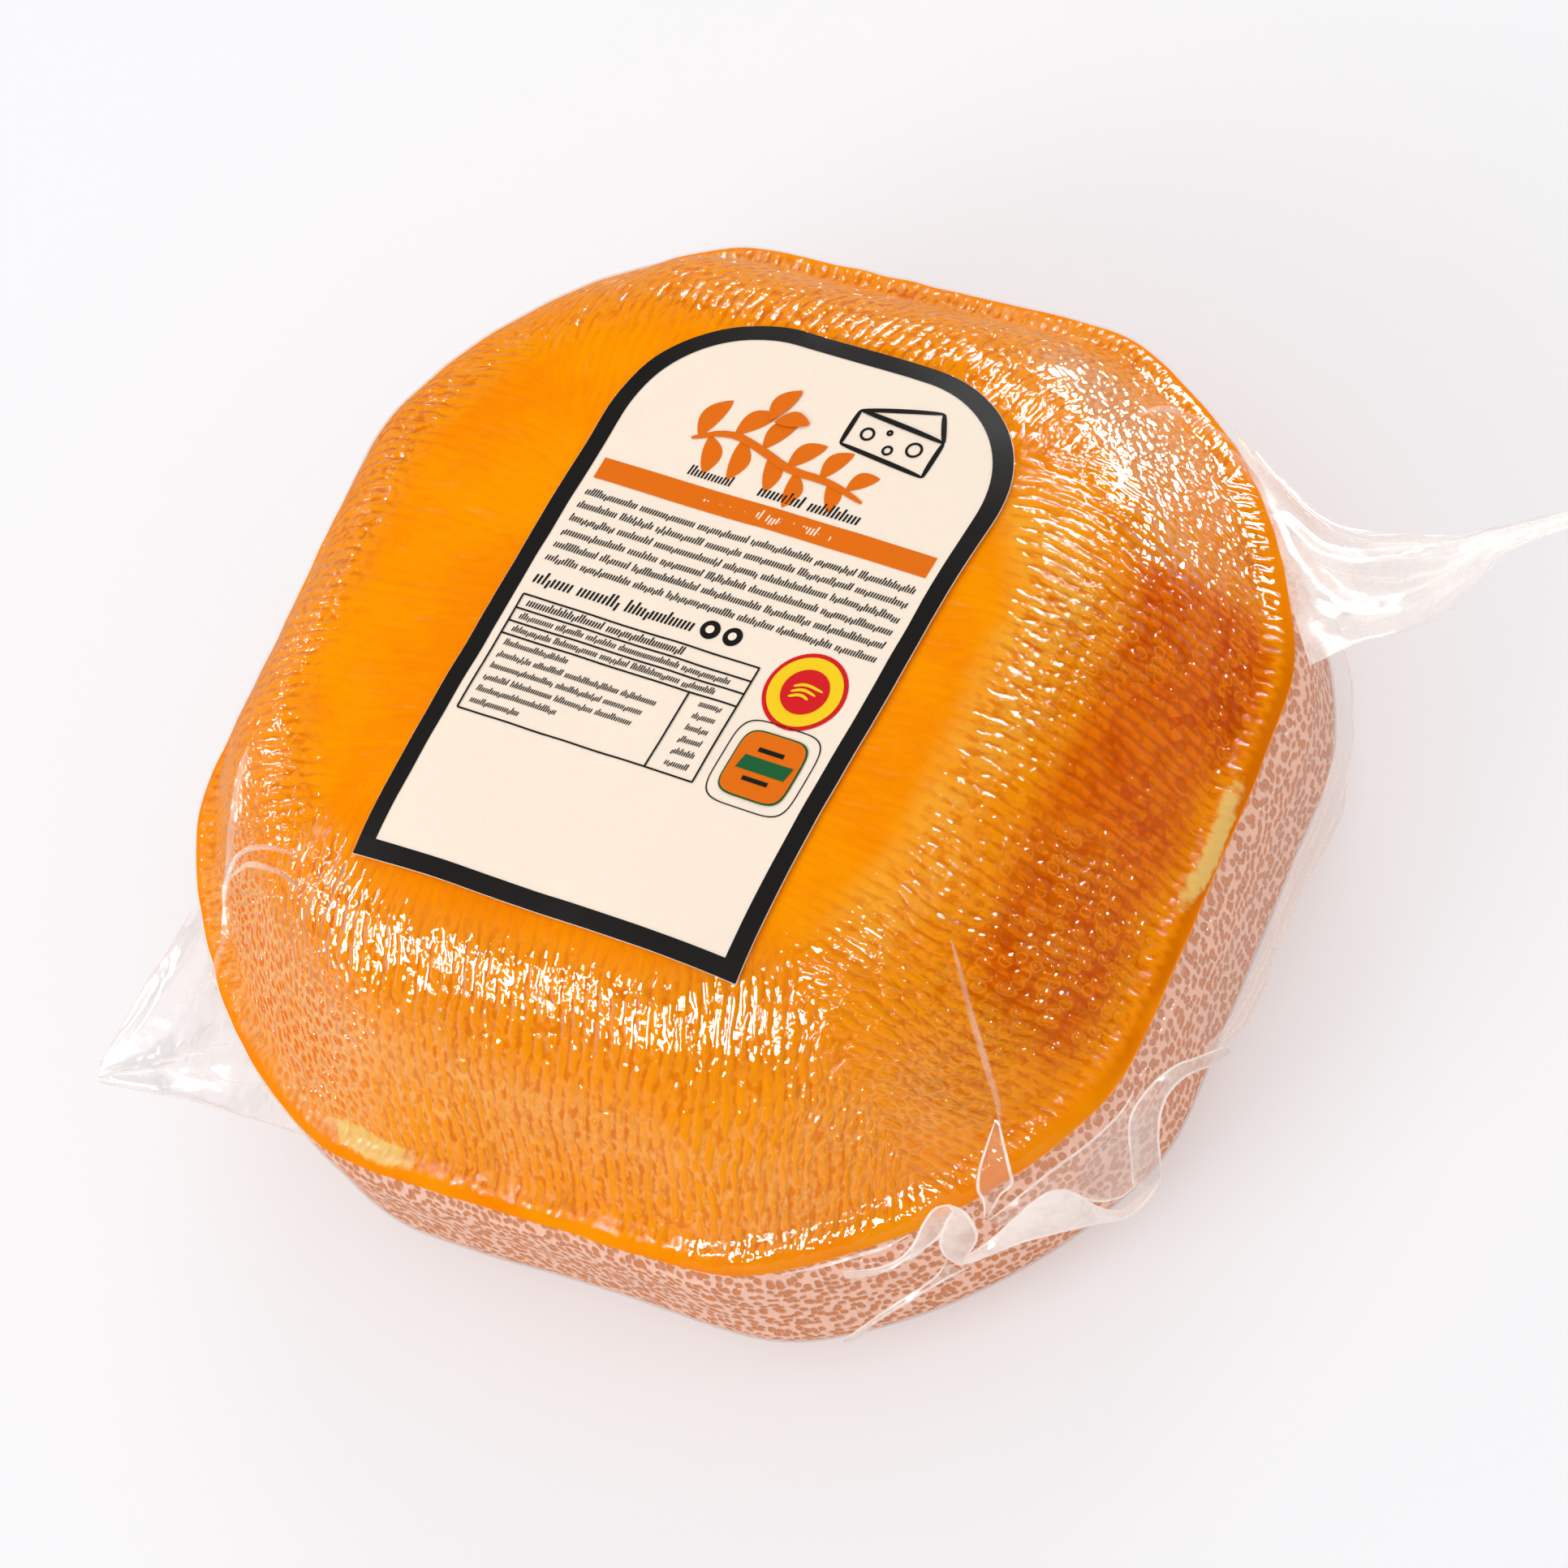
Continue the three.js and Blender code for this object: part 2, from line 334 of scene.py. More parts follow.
def overDome(x, y, out):  # a point this far above the tight film, over a plan point
    above = 200
    step = 0.8
    height = domeHeight(x, y)
    for i in np.ndindex(height.shape):
        found = filmTree.ray_cast(Vector((x[i], y[i], above)), Vector((0, 0, -1)))[0]
        if found is not None:
            height[i] = found.z
    slopeX = (domeHeight(x + step, y) - domeHeight(x - step, y)) / (2 * step)
    slopeY = (domeHeight(x, y + step) - domeHeight(x, y - step)) / (2 * step)
    normal = unit(stack(-slopeX, -slopeY, 1 + 0 * slopeX))
    return stack(x, y, height) + normal * out


# Colours as seen on a screen, red green blue from 0 to 255

def colour(red, green, blue):
    def linear(value):
        value = value / 255
        return value / 12.92 if value <= 0.04045 else ((value + 0.055) / 1.055) ** 2.4
    return (linear(red), linear(green), linear(blue), 1)


# Node tools

class NodePad:  # puts nodes in a material's tree
    def __init__(self, name):
        self.material = bpy.data.materials.new(name)
        self.material.use_nodes = True
        self.tree = self.material.node_tree
        self.tree.nodes.clear()
        self.finish = self.tree.nodes.new("ShaderNodeOutputMaterial")

    def put(self, socket, value):
        if isinstance(value, bpy.types.NodeSocket):
            self.tree.links.new(value, socket)
        elif value is not None:
            socket.default_value = value

    def node(self, kind, values=None, **settings):
        made = self.tree.nodes.new("ShaderNode" + kind)
        for setting, value in settings.items():
            setattr(made, setting, value)
        for key, value in (values or {}).items():
            self.put(made.inputs[key], value)
        return made

    def maths(self, operation, a, b=None, c=None, clamp=False):
        made = self.node("Math", operation=operation, use_clamp=clamp)
        for socket, value in zip(made.inputs, (a, b, c)):
            self.put(socket, value)
        return made.outputs[0]

    def times(self, a, b, clamp=False):
        return self.maths("MULTIPLY", a, b, clamp=clamp)

    def plus(self, a, b):
        return self.maths("ADD", a, b)

    def minus(self, a, b):
        return self.maths("SUBTRACT", a, b)

    def raised(self, height, extra, share):  # height plus a share of the extra
        return self.maths("MULTIPLY_ADD", extra, share, height)

    def smooth(self, value, low, high, start=0.0, end=1.0):
        names = ("Value", "From Min", "From Max", "To Min", "To Max")
        values = dict(zip(names, (value, low, high, start, end)))
        return self.node("MapRange", values, interpolation_type="SMOOTHSTEP").outputs[0]

    def tint(self, share, first, second, blend="MIX"):
        made = self.node("Mix", data_type="RGBA", blend_type=blend)
        self.put(made.inputs[0], share)
        self.put(made.inputs[6], first)
        self.put(made.inputs[7], second)
        return made.outputs[2]

    def attribute(self, name):
        read = self.node("Attribute", attribute_name=name)
        return self.node("SeparateXYZ", {0: read.outputs["Vector"]}).outputs

    def places(self):
        return self.node("TexCoord").outputs["Object"]

    def noise(self, vector, scale, detail=2.0, roughness=0.5):
        values = {"Vector": vector, "Scale": scale, "Detail": detail, "Roughness": roughness}
        return self.node("TexNoise", values).outputs[0]

    def relief(self, height, depth, strength=1.0):  # depth in mm
        values = {"Height": height, "Distance": depth * mm, "Strength": strength}
        return self.node("Bump", values).outputs[0]

    def cells(self, w, s, size):  # cloth places counted in cells of this width and height
        across = self.maths("DIVIDE", w, size[0])
        up = self.maths("DIVIDE", s, size[1])
        return self.node("CombineXYZ", {0: across, 1: up, 2: 0.0}).outputs[0]

    def pebbles(self, vector, randomness):
        values = {"Vector": vector, "Scale": 1.0, "Randomness": randomness}
        return self.node("TexVoronoi", values, voronoi_dimensions="2D", feature="F1").outputs


# Cloth marks: the rind and the film over it share one relief, printed by the cheesecloth

clothMarks = {  # pairs are a mark's width along the side and its height up it
    "ribSpacing": 2.2,
    "ribWander": 2.6,
    "ribDrift": 6,
    "knot": (1.8, 3.6),
    "blister": (1.9, 2.5),
    "net": (1.6, 2.1),
    "netBend": 4,
    "netDepth": 0.9,
    "lump": (2.6, 6),
    "lumpHeight": 1.5,
    "grainHeight": 0.12,
    "sideStep": 500,  # how far apart the four sides lie on the cloth
}
# Zones of the wheel: two ends along the lip, two runs up from it, then how softly they fade both ways
zones = {
    "pinkLeft": ((-250, -150), (3, 34), (20, 8)),
    "pinkFront": ((-150, -70), (4, 30), (20, 8)),
    "pinkBack": ((85, 235), (4, 40), (20, 8)),
    "pinkFar": ((235, 320), (4, 28), (20, 8)),
    # the deep red slope, partly painted shade
    "redDyeAndShade": ((-50, 52), (8, 36), (5, 3)),
    "yellow": ((-62, 62), (43, 55), (12, 3)),
    # the darker right rim, partly painted shade
    "rightRimDyeAndShade": ((-46, 50), (-1, 9), (8, 2)),
    "leftCorner": ((-262, -188), (6, 40), (16, 6)),
    "dullRight": ((-58, 62), (24, 58), (8, 6)),
    "dullRest": ((60, 310), (34, 58), (8, 6)),
    "shinyFront": ((-214, -62), (38, 57), (10, 5)),
    "shinyBack": ((50, 108), (6, 34), (6, 4)),
    "shinyLedge": ((-120, -54), (1.5, 7.5), (6, 1.5)),
}


def clothRelief(pad):
    marks = clothMarks
    w, s = pad.attribute("clothPlace")[:2]
    rib, blister, net = pad.attribute("clothShares")
    places = pad.places()
    wander = pad.minus(pad.noise(places, 90, 2), 0.5)
    drift = pad.minus(pad.noise(places, 25, 1), 0.5)
    w = pad.plus(w, pad.times(wander, marks["ribWander"]))
    w = pad.plus(w, pad.times(drift, marks["ribDrift"]))
    wavy = pad.plus(s, pad.times(wander, 2))

    turns = pad.times(w, 2 * math.pi / marks["ribSpacing"])
    ribs = pad.maths("MULTIPLY_ADD", pad.maths("SINE", turns), 0.5, 0.5)
    knots = pad.noise(pad.cells(w, wavy, marks["knot"]), 1.0, 1)
    ribs = pad.times(ribs, pad.smooth(knots, 0.34, 0.58, 0.12, 1.0))

    blisters = pad.pebbles(pad.cells(w, wavy, marks["blister"]), 0.75)
    far = blisters["Distance"]
    domes = pad.smooth(far, 0.48, 0.2)
    outline = pad.times(pad.smooth(far, 0.3, 0.4), pad.smooth(far, 0.56, 0.46))
    tone = pad.node("SeparateColor", {0: blisters["Color"]}).outputs[0]

    bent = pad.plus(s, pad.times(pad.noise(places, 160, 1), marks["netBend"]))
    holes = pad.pebbles(pad.cells(w, bent, marks["net"]), 0.8)["Distance"]
    loose = pad.minus(pad.noise(places, 420, 2), 0.5)
    gaps = pad.smooth(pad.plus(holes, pad.times(loose, 0.5)), 0.5, 0.2)

    lumps = pad.noise(pad.cells(w, wavy, marks["lump"]), 1.0, 2)
    height = pad.plus(pad.times(ribs, rib), pad.times(domes, blister))
    height = pad.raised(height, pad.times(gaps, net), -marks["netDepth"])
    height = pad.raised(height, pad.times(lumps, pad.plus(rib, 0.3)), marks["lumpHeight"])
    height = pad.raised(height, pad.noise(places, 900, 2), marks["grainHeight"])
    return {
        "height": height, "ribs": ribs, "domes": domes, "far": far, "outline": outline, "tone": tone,
        "gaps": gaps, "w": w, "s": s, "rib": rib, "blister": blister, "net": net, "places": places,
    }


def sideOf(u, v):  # which of the four sides a place on the square grid belongs to
    return np.where(np.abs(u) >= np.abs(v), np.where(u > 0, 0, 2), np.where(v > 0, 1, 3))


def clothCorners(boxU, boxV, run, faces):  # where each face's corners lie on the cloth, side by side
    corners = np.concatenate([np.asarray(face) for face in faces])
    lengths = np.array([len(face) for face in faces])
    starts = np.concatenate([[0], np.cumsum(lengths)[:-1]])
    middleU = np.repeat(np.add.reduceat(boxU[corners], starts) / lengths, lengths)
    middleV = np.repeat(np.add.reduceat(boxV[corners], starts) / lengths, lengths)
    side = sideOf(middleU, middleV)
    u, v, run = boxU[corners], boxV[corners], run[corners]
    major = np.choose(side, [u, v, -u, -v])
    minor = np.choose(side, [v, -u, -v, u])
    t = minor / np.maximum(major, 0.02)
    share = np.clip(1 - np.maximum(run, 0) / domeRun, 0, 1)
    return stack(t * sideRun / 2 * share ** 0.75 + side * clothMarks["sideStep"], run, 0)


def stretch(distance, run, ends, runs, soft):  # one inside these ends and runs, fading at the edges
    along = ease(distance, ends[0] - soft[0], ends[0] + soft[0])
    along = along * ease(-distance, -ends[1] - soft[0], -ends[1] + soft[0])
    up = ease(run, runs[0] - soft[1], runs[0] + soft[1])
    up = up * ease(-run, -runs[1] - soft[1], -runs[1] + soft[1])
    return along * up


def clothStrength(points, normals, distance, run):  # how strong the ribs, blisters and net are
    z = points[..., 2]
    slope = ease(run, 1.5, 5.5) * ease(-z, -88.2, -85)
    patch = layeredNoise(points, 22, 31)
    plateau = ease(z, 82, 87)
    right = ease(normals[..., 0], 0.25, 0.75)
    rib = slope * (0.8 + 0.25 * patch) + 0.14 * plateau
    blister = slope * (0.15 + 0.6 * right) * ease(patch, -0.7, 0.5) + 0.04 * plateau
    fromCorner = np.abs((distance + sideRun) % sideRun - sideRun / 2)
    meeting = bump(fromCorner, 9) * ease(run, 2, 12)
    rib = rib * (1 - 0.65 * meeting)
    blister = np.maximum(blister, 0.6 * meeting * slope)
    leftCorner = stretch(signedDistance(distance), run, *zones["leftCorner"])
    rib = rib * (1 - 0.6 * leftCorner)
    blister = np.maximum(blister, 0.8 * leftCorner)
    net = ease(-run, 1, 3)
    rib = rib + 0.25 * net
    return stack(rib, blister, net)


# Rind

rindLook = {
    "crownOrange": colour(255, 152, 0),
    "crownDeep": colour(250, 134, 0),
    "ribOrange": colour(252, 154, 8),
    "gapSalmon": colour(255, 180, 96),
    "cornerSalmon": colour(255, 184, 112),
    # painted shade: the groove orange and pit brown; painted light: the blister and ring lights; partly
    # painted shade: the red and rim brown
    "blisterRed": colour(206, 62, 0),
    "grooveShadeOrange": colour(222, 104, 0),
    "blisterDeep": colour(240, 108, 0),
    "paintedBlisterLight": colour(240, 122, 2),
    "paintedRingLight": colour(250, 152, 40),
    "pitShadeBrown": colour(186, 66, 0),
    "rimBrownAndShade": colour(212, 102, 0),
    "shoulderYellow": colour(250, 180, 62),
    "rimOrange": colour(248, 150, 6),
    "barePatch": colour(244, 216, 130),
    "netPink": colour(250, 198, 174),
    "netBrown": colour(222, 134, 78),
    "netTan": colour(226, 152, 116),
    "streak": (1.5, 10),
    "spot": (1.3, 2.4),
    "reliefDepth": 0.42,
    "roughness": 0.6,
}
# Where the dye is missing: middle along the lip and above it, half length and half width
barePatches = [(4, 2.6, 13, 2.3), (-186, 5.5, 10, 2.6)]


def rindTones(points, distance, run):  # shares of pink, deep red and yellow, then of bare and the right rim; the red and the darker right rim are partly painted shade
    distance = signedDistance(distance)
    broad = layeredNoise(points, 40, 51)
    fine = layeredNoise(points, 9, 61)
    wavy = run + 3 * broad + 1.5 * fine
    along = distance + 7 * broad
    pink = 0.4 * stretch(np.abs(along), wavy, *zones["pinkFar"])
    for name, share in (("pinkLeft", 0.9), ("pinkFront", 0.6), ("pinkBack", 0.55)):
        pink = pink + share * stretch(along, wavy, *zones[name])
    redDyeAndShade, yellow, lower = (stretch(along, wavy, *zones[name]) for name in ("redDyeAndShade", "yellow", "rightRimDyeAndShade"))
    bare = 0
    for middle, centre, long, wide in barePatches:
        away = np.hypot((distance - middle) / long, (run - centre + 1.2 * fine) / wide)
        bare = bare + ease(-away, -1.35, -0.55)
    redDyeAndShade = np.clip(redDyeAndShade * (0.95 + 0.25 * broad + 0.2 * fine), 0, 1)
    pink = np.clip(pink * (1 + 0.5 * broad + 0.4 * fine), 0, 1) * (1 - redDyeAndShade)
    yellow = np.clip(yellow * (0.85 + 0.4 * fine + 0.3 * broad), 0, 1)
    return stack(pink, redDyeAndShade, yellow), stack(np.clip(bare, 0, 1), np.clip(lower, 0, 1), 0)


def rindMaterial():
    pad = NodePad("dyed_rind")
    look = rindLook
    cloth = clothRelief(pad)
    w, s, rib, ribs = cloth["w"], cloth["s"], cloth["rib"], cloth["ribs"]
    far, blister = cloth["far"], cloth["blister"]
    pink, redDyeAndShade, yellow = pad.attribute("rindTones")
    bare, lower = pad.attribute("rindMore")[:2]
    clouds = pad.noise(cloth["places"], 45, 3, 0.55)
    streaks = pad.noise(pad.cells(w, s, look["streak"]), 1.0, 3, 0.6)
    spots = pad.noise(pad.cells(w, s, look["spot"]), 1.0, 2)

    # the dye
    cloudy = pad.smooth(pad.plus(clouds, pad.times(streaks, 0.5)), 0.6, 0.95)
    base = pad.tint(cloudy, look["crownOrange"], look["crownDeep"])
    base = pad.tint(pad.times(pad.smooth(streaks, 0.56, 0.75), 0.3), base, look["shoulderYellow"])
    base = pad.tint(pad.times(rib, pad.smooth(clouds, 0.35, 0.7, 0.2, 0.9)), base, look["ribOrange"])

    # salmon where it is thin, first in the grooves and then between the blisters
    thin = pad.times(pad.maths("MULTIPLY_ADD", pink, 0.9, 0.08), pad.smooth(rib, 0.1, 0.5))
    between = pad.times(pad.smooth(ribs, 0.5, 0.12), pad.smooth(spots, 0.36, 0.56))
    base = pad.tint(pad.times(between, thin, clamp=True), base, look["gapSalmon"])
    base = pad.tint(pad.times(thin, pad.smooth(clouds, 0.42, 0.62, 0.05, 0.5)), base, look["gapSalmon"])
    holes = pad.smooth(far, 0.4, 0.22)
    meshed = pad.times(pad.times(pink, blister), pad.smooth(clouds, 0.3, 0.6, 0.5, 1.6))
    base = pad.tint(pad.times(meshed, pad.minus(1.15, holes), clamp=True), base, look["cornerSalmon"])
    base = pad.tint(pad.times(meshed, pad.times(holes, 0.7), clamp=True), base, look["blisterDeep"])
    sunny = pad.times(yellow, pad.smooth(streaks, 0.3, 0.6, 0.45, 0.95))
    base = pad.tint(sunny, base, look["shoulderYellow"])
    # painted shade: the rib grooves drawn darker orange
    grooves = pad.times(pad.smooth(ribs, 0.34, 0.02), pad.smooth(spots, 0.62, 0.42, 0.2, 0.85))
    base = pad.tint(pad.times(grooves, rib), base, look["grooveShadeOrange"])

    # deep red on the right slope, partly dye and partly painted shade, with a painted light ring round
    # its drops
    redness = pad.smooth(pad.plus(cloth["tone"], pad.times(clouds, 0.9)), 0.3, 1.15)
    reds = pad.tint(redness, look["blisterRed"], look["blisterDeep"])
    # painted light: the blister tops drawn lighter
    reds = pad.tint(pad.times(cloth["domes"], 0.45), reds, look["paintedBlisterLight"])
    # painted shade: darker in the rib grooves of the red slope
    reds = pad.tint(pad.times(pad.smooth(ribs, 0.4, 0.05), 0.55), reds, look["pitShadeBrown"])
    base = pad.tint(pad.times(redDyeAndShade, 0.95), base, reds)
    # painted light: a pale ring round some of the drops
    drops = pad.times(blister, pad.smooth(cloth["tone"], 0.45, 0.6))
    base = pad.tint(pad.times(cloth["outline"], pad.times(drops, 0.6)), base, look["paintedRingLight"])
    # painted shade: darker in the pits between the blisters
    paintedPitShade = pad.times(pad.smooth(far, 0.5, 0.66), pad.times(blister, 0.45))
    base = pad.tint(paintedPitShade, base, look["pitShadeBrown"])

    # the smooth rim, darker brown on the right partly as painted shade, and its bare patches
    onRim = pad.times(pad.smooth(s, -1.6, 0), pad.smooth(pad.minus(s, ribs), 3.6, 1.4))
    rimTone = pad.tint(pad.smooth(clouds, 0.35, 0.65), look["rimOrange"], look["crownDeep"])
    # the right rim drawn darker, partly painted shade
    rimTone = pad.tint(lower, rimTone, look["rimBrownAndShade"])
    base = pad.tint(pad.times(onRim, 0.75), base, rimTone)
    ragged = pad.times(pad.minus(spots, 0.5), 1.3)
    bareEdge = pad.smooth(pad.plus(bare, ragged), 0.25, 0.95)
    base = pad.tint(pad.times(bareEdge, 0.7), base, look["barePatch"])

    # the pale net on the wall, milder on the right side
    rightWall = pad.times(pad.smooth(w, 75, 45), pad.smooth(w, -75, -45))
    holeTone = pad.tint(pad.times(rightWall, 0.8), look["netBrown"], look["netTan"])
    base = pad.tint(cloth["net"], base, pad.tint(cloth["gaps"], look["netPink"], holeTone))

    relief = pad.relief(cloth["height"], look["reliefDepth"])
    cheese = pad.node("BsdfPrincipled", {
        "Base Color": base, "Roughness": look["roughness"], "Normal": relief,
        "Specular IOR Level": 0.0,
    })
    pad.put(pad.finish.inputs[0], cheese.outputs[0])
    return pad.material


# Film

filmLook = {
    "aboveRind": 0.35,
    "roughness": 0.03,
    "looseRoughness": 0.14,
    "refraction": 1.45,
    "mostMirrored": 0.28,  # keeps steep film clear
    "reliefDepth": 0.5,
    "looseDepth": 0.6,
    "weave": (2.2, 1.7),
    "milk": colour(255, 251, 248),
}
filmShine = {  # how wetly each part of the tight film shines
    "slopes": 0.5,
    "crown": 0.25,
    "dull": 0.22,
    "rim": 0.12,
    "front": 1.5,
    "back": 2.4,
    "ledge": 1.6,
}


def filmShares(distance, run, height):  # how wetly the tight film shines, and how lumpy it is there
    around = signedDistance(distance)
    shine = mix(filmShine["slopes"], filmShine["crown"], ease(height, 82, 87))
    for name in ("dullRight", "dullRest"):
        shine = mix(shine, filmShine["dull"], stretch(around, run, *zones[name]))
    shine = mix(shine, filmShine["rim"], ease(-run, -6, -2) * ease(run, -4, -1))
    shine = mix(shine, filmShine["rim"], ease(-run, -9, -6) * ease(run, -4, -1))
    front = stretch(around, run, *zones["shinyFront"])
    back = stretch(around, run, *zones["shinyBack"])
    ledge = stretch(around, run, *zones["shinyLedge"])
    for name, share in (("front", front), ("back", back), ("ledge", ledge)):
        shine = mix(shine, filmShine[name], share)
    return stack(shine, np.maximum(back, 0.5 * ledge), 0)


def filmMaterial(name, loose):
    pad = NodePad(name)
    look = filmLook
    if loose:
        milk, edging, wet = pad.attribute("filmMilk")
        height = pad.noise(pad.places(), 120, 3, 0.55)
        relief = pad.relief(height, look["looseDepth"])
    else:
        cloth = clothRelief(pad)
        wet, lumpy = pad.attribute("filmShares")[:2]
        woven = pad.noise(pad.cells(cloth["w"], cloth["s"], look["weave"]), 1.0, 1)
        height = pad.raised(cloth["height"], pad.noise(cloth["places"], 260, 2), 0.35)
        height = pad.raised(height, pad.times(woven, lumpy), 2.0)
        relief = pad.relief(height, look["reliefDepth"])
    shine = pad.node("BsdfGlossy", {
        "Color": (1, 1, 1, 1), "Normal": relief,
        "Roughness": look["looseRoughness" if loose else "roughness"],
    })
    clear = pad.node("BsdfTransparent", {"Color": (1, 1, 1, 1)})
    glance = pad.node("Fresnel", {"IOR": look["refraction"], "Normal": relief}).outputs[0]
    mirrored = pad.maths("MINIMUM", pad.times(glance, wet), look["mostMirrored"])
    whole = pad.node("MixShader", {0: mirrored, 1: clear.outputs[0], 2: shine.outputs[0]})
    if loose:
        haze = pad.node("BsdfDiffuse", {"Color": look["milk"]})
        through = pad.node("BsdfTranslucent", {"Color": look["milk"]})
        cloud = pad.node("MixShader", {0: 0.5, 1: haze.outputs[0], 2: through.outputs[0]})
        edge = pad.node("LayerWeight", {"Blend": 0.35}).outputs["Facing"]
        milk = pad.raised(milk, pad.maths("POWER", edge, 2.0), edging)
        milk = pad.times(milk, pad.smooth(height, 0.3, 0.7, 0.6, 1.2), clamp=True)
        whole = pad.node("MixShader", {0: milk, 1: whole.outputs[0], 2: cloud.outputs[0]})
    pad.put(pad.finish.inputs[0], whole.outputs[0])
    return pad.material


# Cheese and the film drawn tight over it share this layout: a square grid bent over the dome,
# rows down the wall and a few rings under the base

layout = {
    "cells": 208,
    "wallRows": 50,
    "baseRings": 5,
}


def wheelLayout():
    n = layout["cells"]
    line = np.linspace(-1, 1, n + 1)
    v, u = np.meshgrid(line, line, indexing="ij")
    k = np.maximum(np.abs(u), np.abs(v))
    side = sideOf(u, v)
    safe = np.maximum(k, 1e-9)
    t = np.choose(side, [v / safe, -u / safe, -v / safe, u / safe])
    run = (1 - k) * domeRun
    ring = [(0, j) for j in range(n)] + [(i, n) for i in range(n)]
    ring += [(n, j) for j in range(n, 0, -1)] + [(i, 0) for i in range(n, 0, -1)]
    ringIndex = [i * (n + 1) + j for i, j in ring]
    ringSide = side.ravel()[ringIndex]
    ringT = t.ravel()[ringIndex]
    sides, ts, runs = [side.ravel()], [t.ravel()], [run.ravel()]
    boxU, boxV = [u.ravel()], [v.ravel()]
    faces = gridFaces(n + 1, n + 1)
    lowest = -wallRun
    rows = np.linspace(0, 1, layout["wallRows"] + 1)[1:] ** 1.05 * lowest
    rows = np.concatenate([rows, np.linspace(lowest, profileRun[0], layout["baseRings"] + 1)[1:]])
    above = list(ringIndex)
    start = (n + 1) ** 2
    count = len(ring)
    for row in rows:
        below = list(range(start, start + count))
        start += count
        sides.append(ringSide)
        ts.append(ringT)
        runs.append(np.full(count, row))
        boxU.append(u.ravel()[ringIndex])
        boxV.append(v.ravel()[ringIndex])
        for a in range(count):
            b = (a + 1) % count
            faces.append((above[b], above[a], below[a], below[b]))
        above = below
    faces.append(tuple(reversed(above)))
    return [np.concatenate(row) for row in (sides, ts, runs, boxU, boxV)], faces


(side, t, run, boxU, boxV), wheelFaces = wheelLayout()
distance = side * sideRun + t * sideRun / 2
plain, wheelNormals = wheelPoint(side, t, run)
rindPoints = plain + wheelNormals * rindSway(plain, run)[:, None]
cheese = buildPiece("cheese", rindPoints, wheelFaces, [rindMaterial()])
clothPlace = clothCorners(boxU, boxV, run, wheelFaces)
clothShares = clothStrength(plain, wheelNormals, distance, run)
rindA, rindB = rindTones(plain, distance, run)
storeValues(cheese, "clothPlace", clothPlace, "CORNER")
storeValues(cheese, "clothShares", clothShares)
storeValues(cheese, "rindTones", rindA)
storeValues(cheese, "rindMore", rindB)
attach(cheese, "root")
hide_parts("cheese_wheel")
print("cheese made")

tightFilm = filmMaterial("tight_film", False)
looseFilm = filmMaterial("loose_film", True)
wrapPoints = rindPoints + wheelNormals * filmLook["aboveRind"]
wrap = buildPiece("shrink_wrap", wrapPoints, wheelFaces, [tightFilm])
storeValues(wrap, "clothPlace", clothPlace, "CORNER")
storeValues(wrap, "clothShares", clothShares)
storeValues(wrap, "filmShares", filmShares(distance, run, plain[:, 2]))
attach(wrap, "root")
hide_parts("vacuum_bag")
wrap.visible_shadow = False  # clear film lets the lamps through
wrap.visible_diffuse = False
filmTree = BVHTree.FromPolygons([Vector(point) for point in wrapPoints], wheelFaces)
print("shrink wrap made")


# Loose film: an ear at the front left corner, the gathered tail at the back right one, and the end seal,
# which hangs along the right side and crumples round the front right corner

def smoothLine(points, count):  # an evenly stepped curve through these points
    points = np.asarray(points, float)
    before = 2 * points[0] - points[1]
    after = 2 * points[-1] - points[-2]
    knots = np.concatenate([[before], points, [after]])
    at = np.linspace(0, len(points) - 1, count)
    i = np.minimum(at.astype(int), len(points) - 2)
    u = (at - i)[:, None]
    a, b, c, d = knots[i], knots[i + 1], knots[i + 2], knots[i + 3]
    square = (2 * a - 5 * b + 4 * c - d) * u ** 2
    cube = (3 * b - a - 3 * c + d) * u ** 3
    return 0.5 * (2 * b + (c - a) * u + square + cube)


class FilmBits(Skins):  # sheets and creases of loose film, each with its milk, milky edging and shine
    def sheet(self, grid, milk, edging=0.3, shine=0.4, thickness=0.22):
        values = (np.broadcast_to(value, grid.shape[:2]).ravel() for value in (milk, edging, shine))
        shares = stack(*values)
        self.shares += [shares, shares]
        self.gather(grid, thickness)

    def crease(self, line, outward, width, height, milk=0.25):  # a pinched ridge, thin at both ends
        share = np.linspace(0, 1, len(line))
        taper = np.sqrt(np.clip(np.sin(share * math.pi), 0.03, 1))[:, None]
        along = unit(np.gradient(line, axis=0))
        aside = unit(np.cross(outward, along))
        rows = []
        for across, rise in ((-1, -0.1), (-0.35, 0.45), (0, 1), (0.35, 0.45), (1, -0.1)):
            rows.append(line + aside * across * width / 2 * taper + outward * rise * height * taper)
        self.sheet(np.stack(rows), milk, thickness=0.12)

    def pleat(self, grid, rows, across, width, height):  # a crease down a grid, between shares across it
        column = (np.linspace(*across, len(rows)) * (grid.shape[1] - 1)).round().astype(int)
        up = np.tile([0.0, 0.0, 1.0], (len(rows), 1))
        self.crease(grid[rows, column], up, width, height, 0.3)

    def make(self, name):
        piece = buildPiece(name, np.concatenate(self.points), self.faces, [looseFilm])
        storeValues(piece, "filmMilk", np.concatenate(self.shares))
        piece.visible_shadow = False
        piece.visible_diffuse = False
        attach(piece, "root")
        return piece


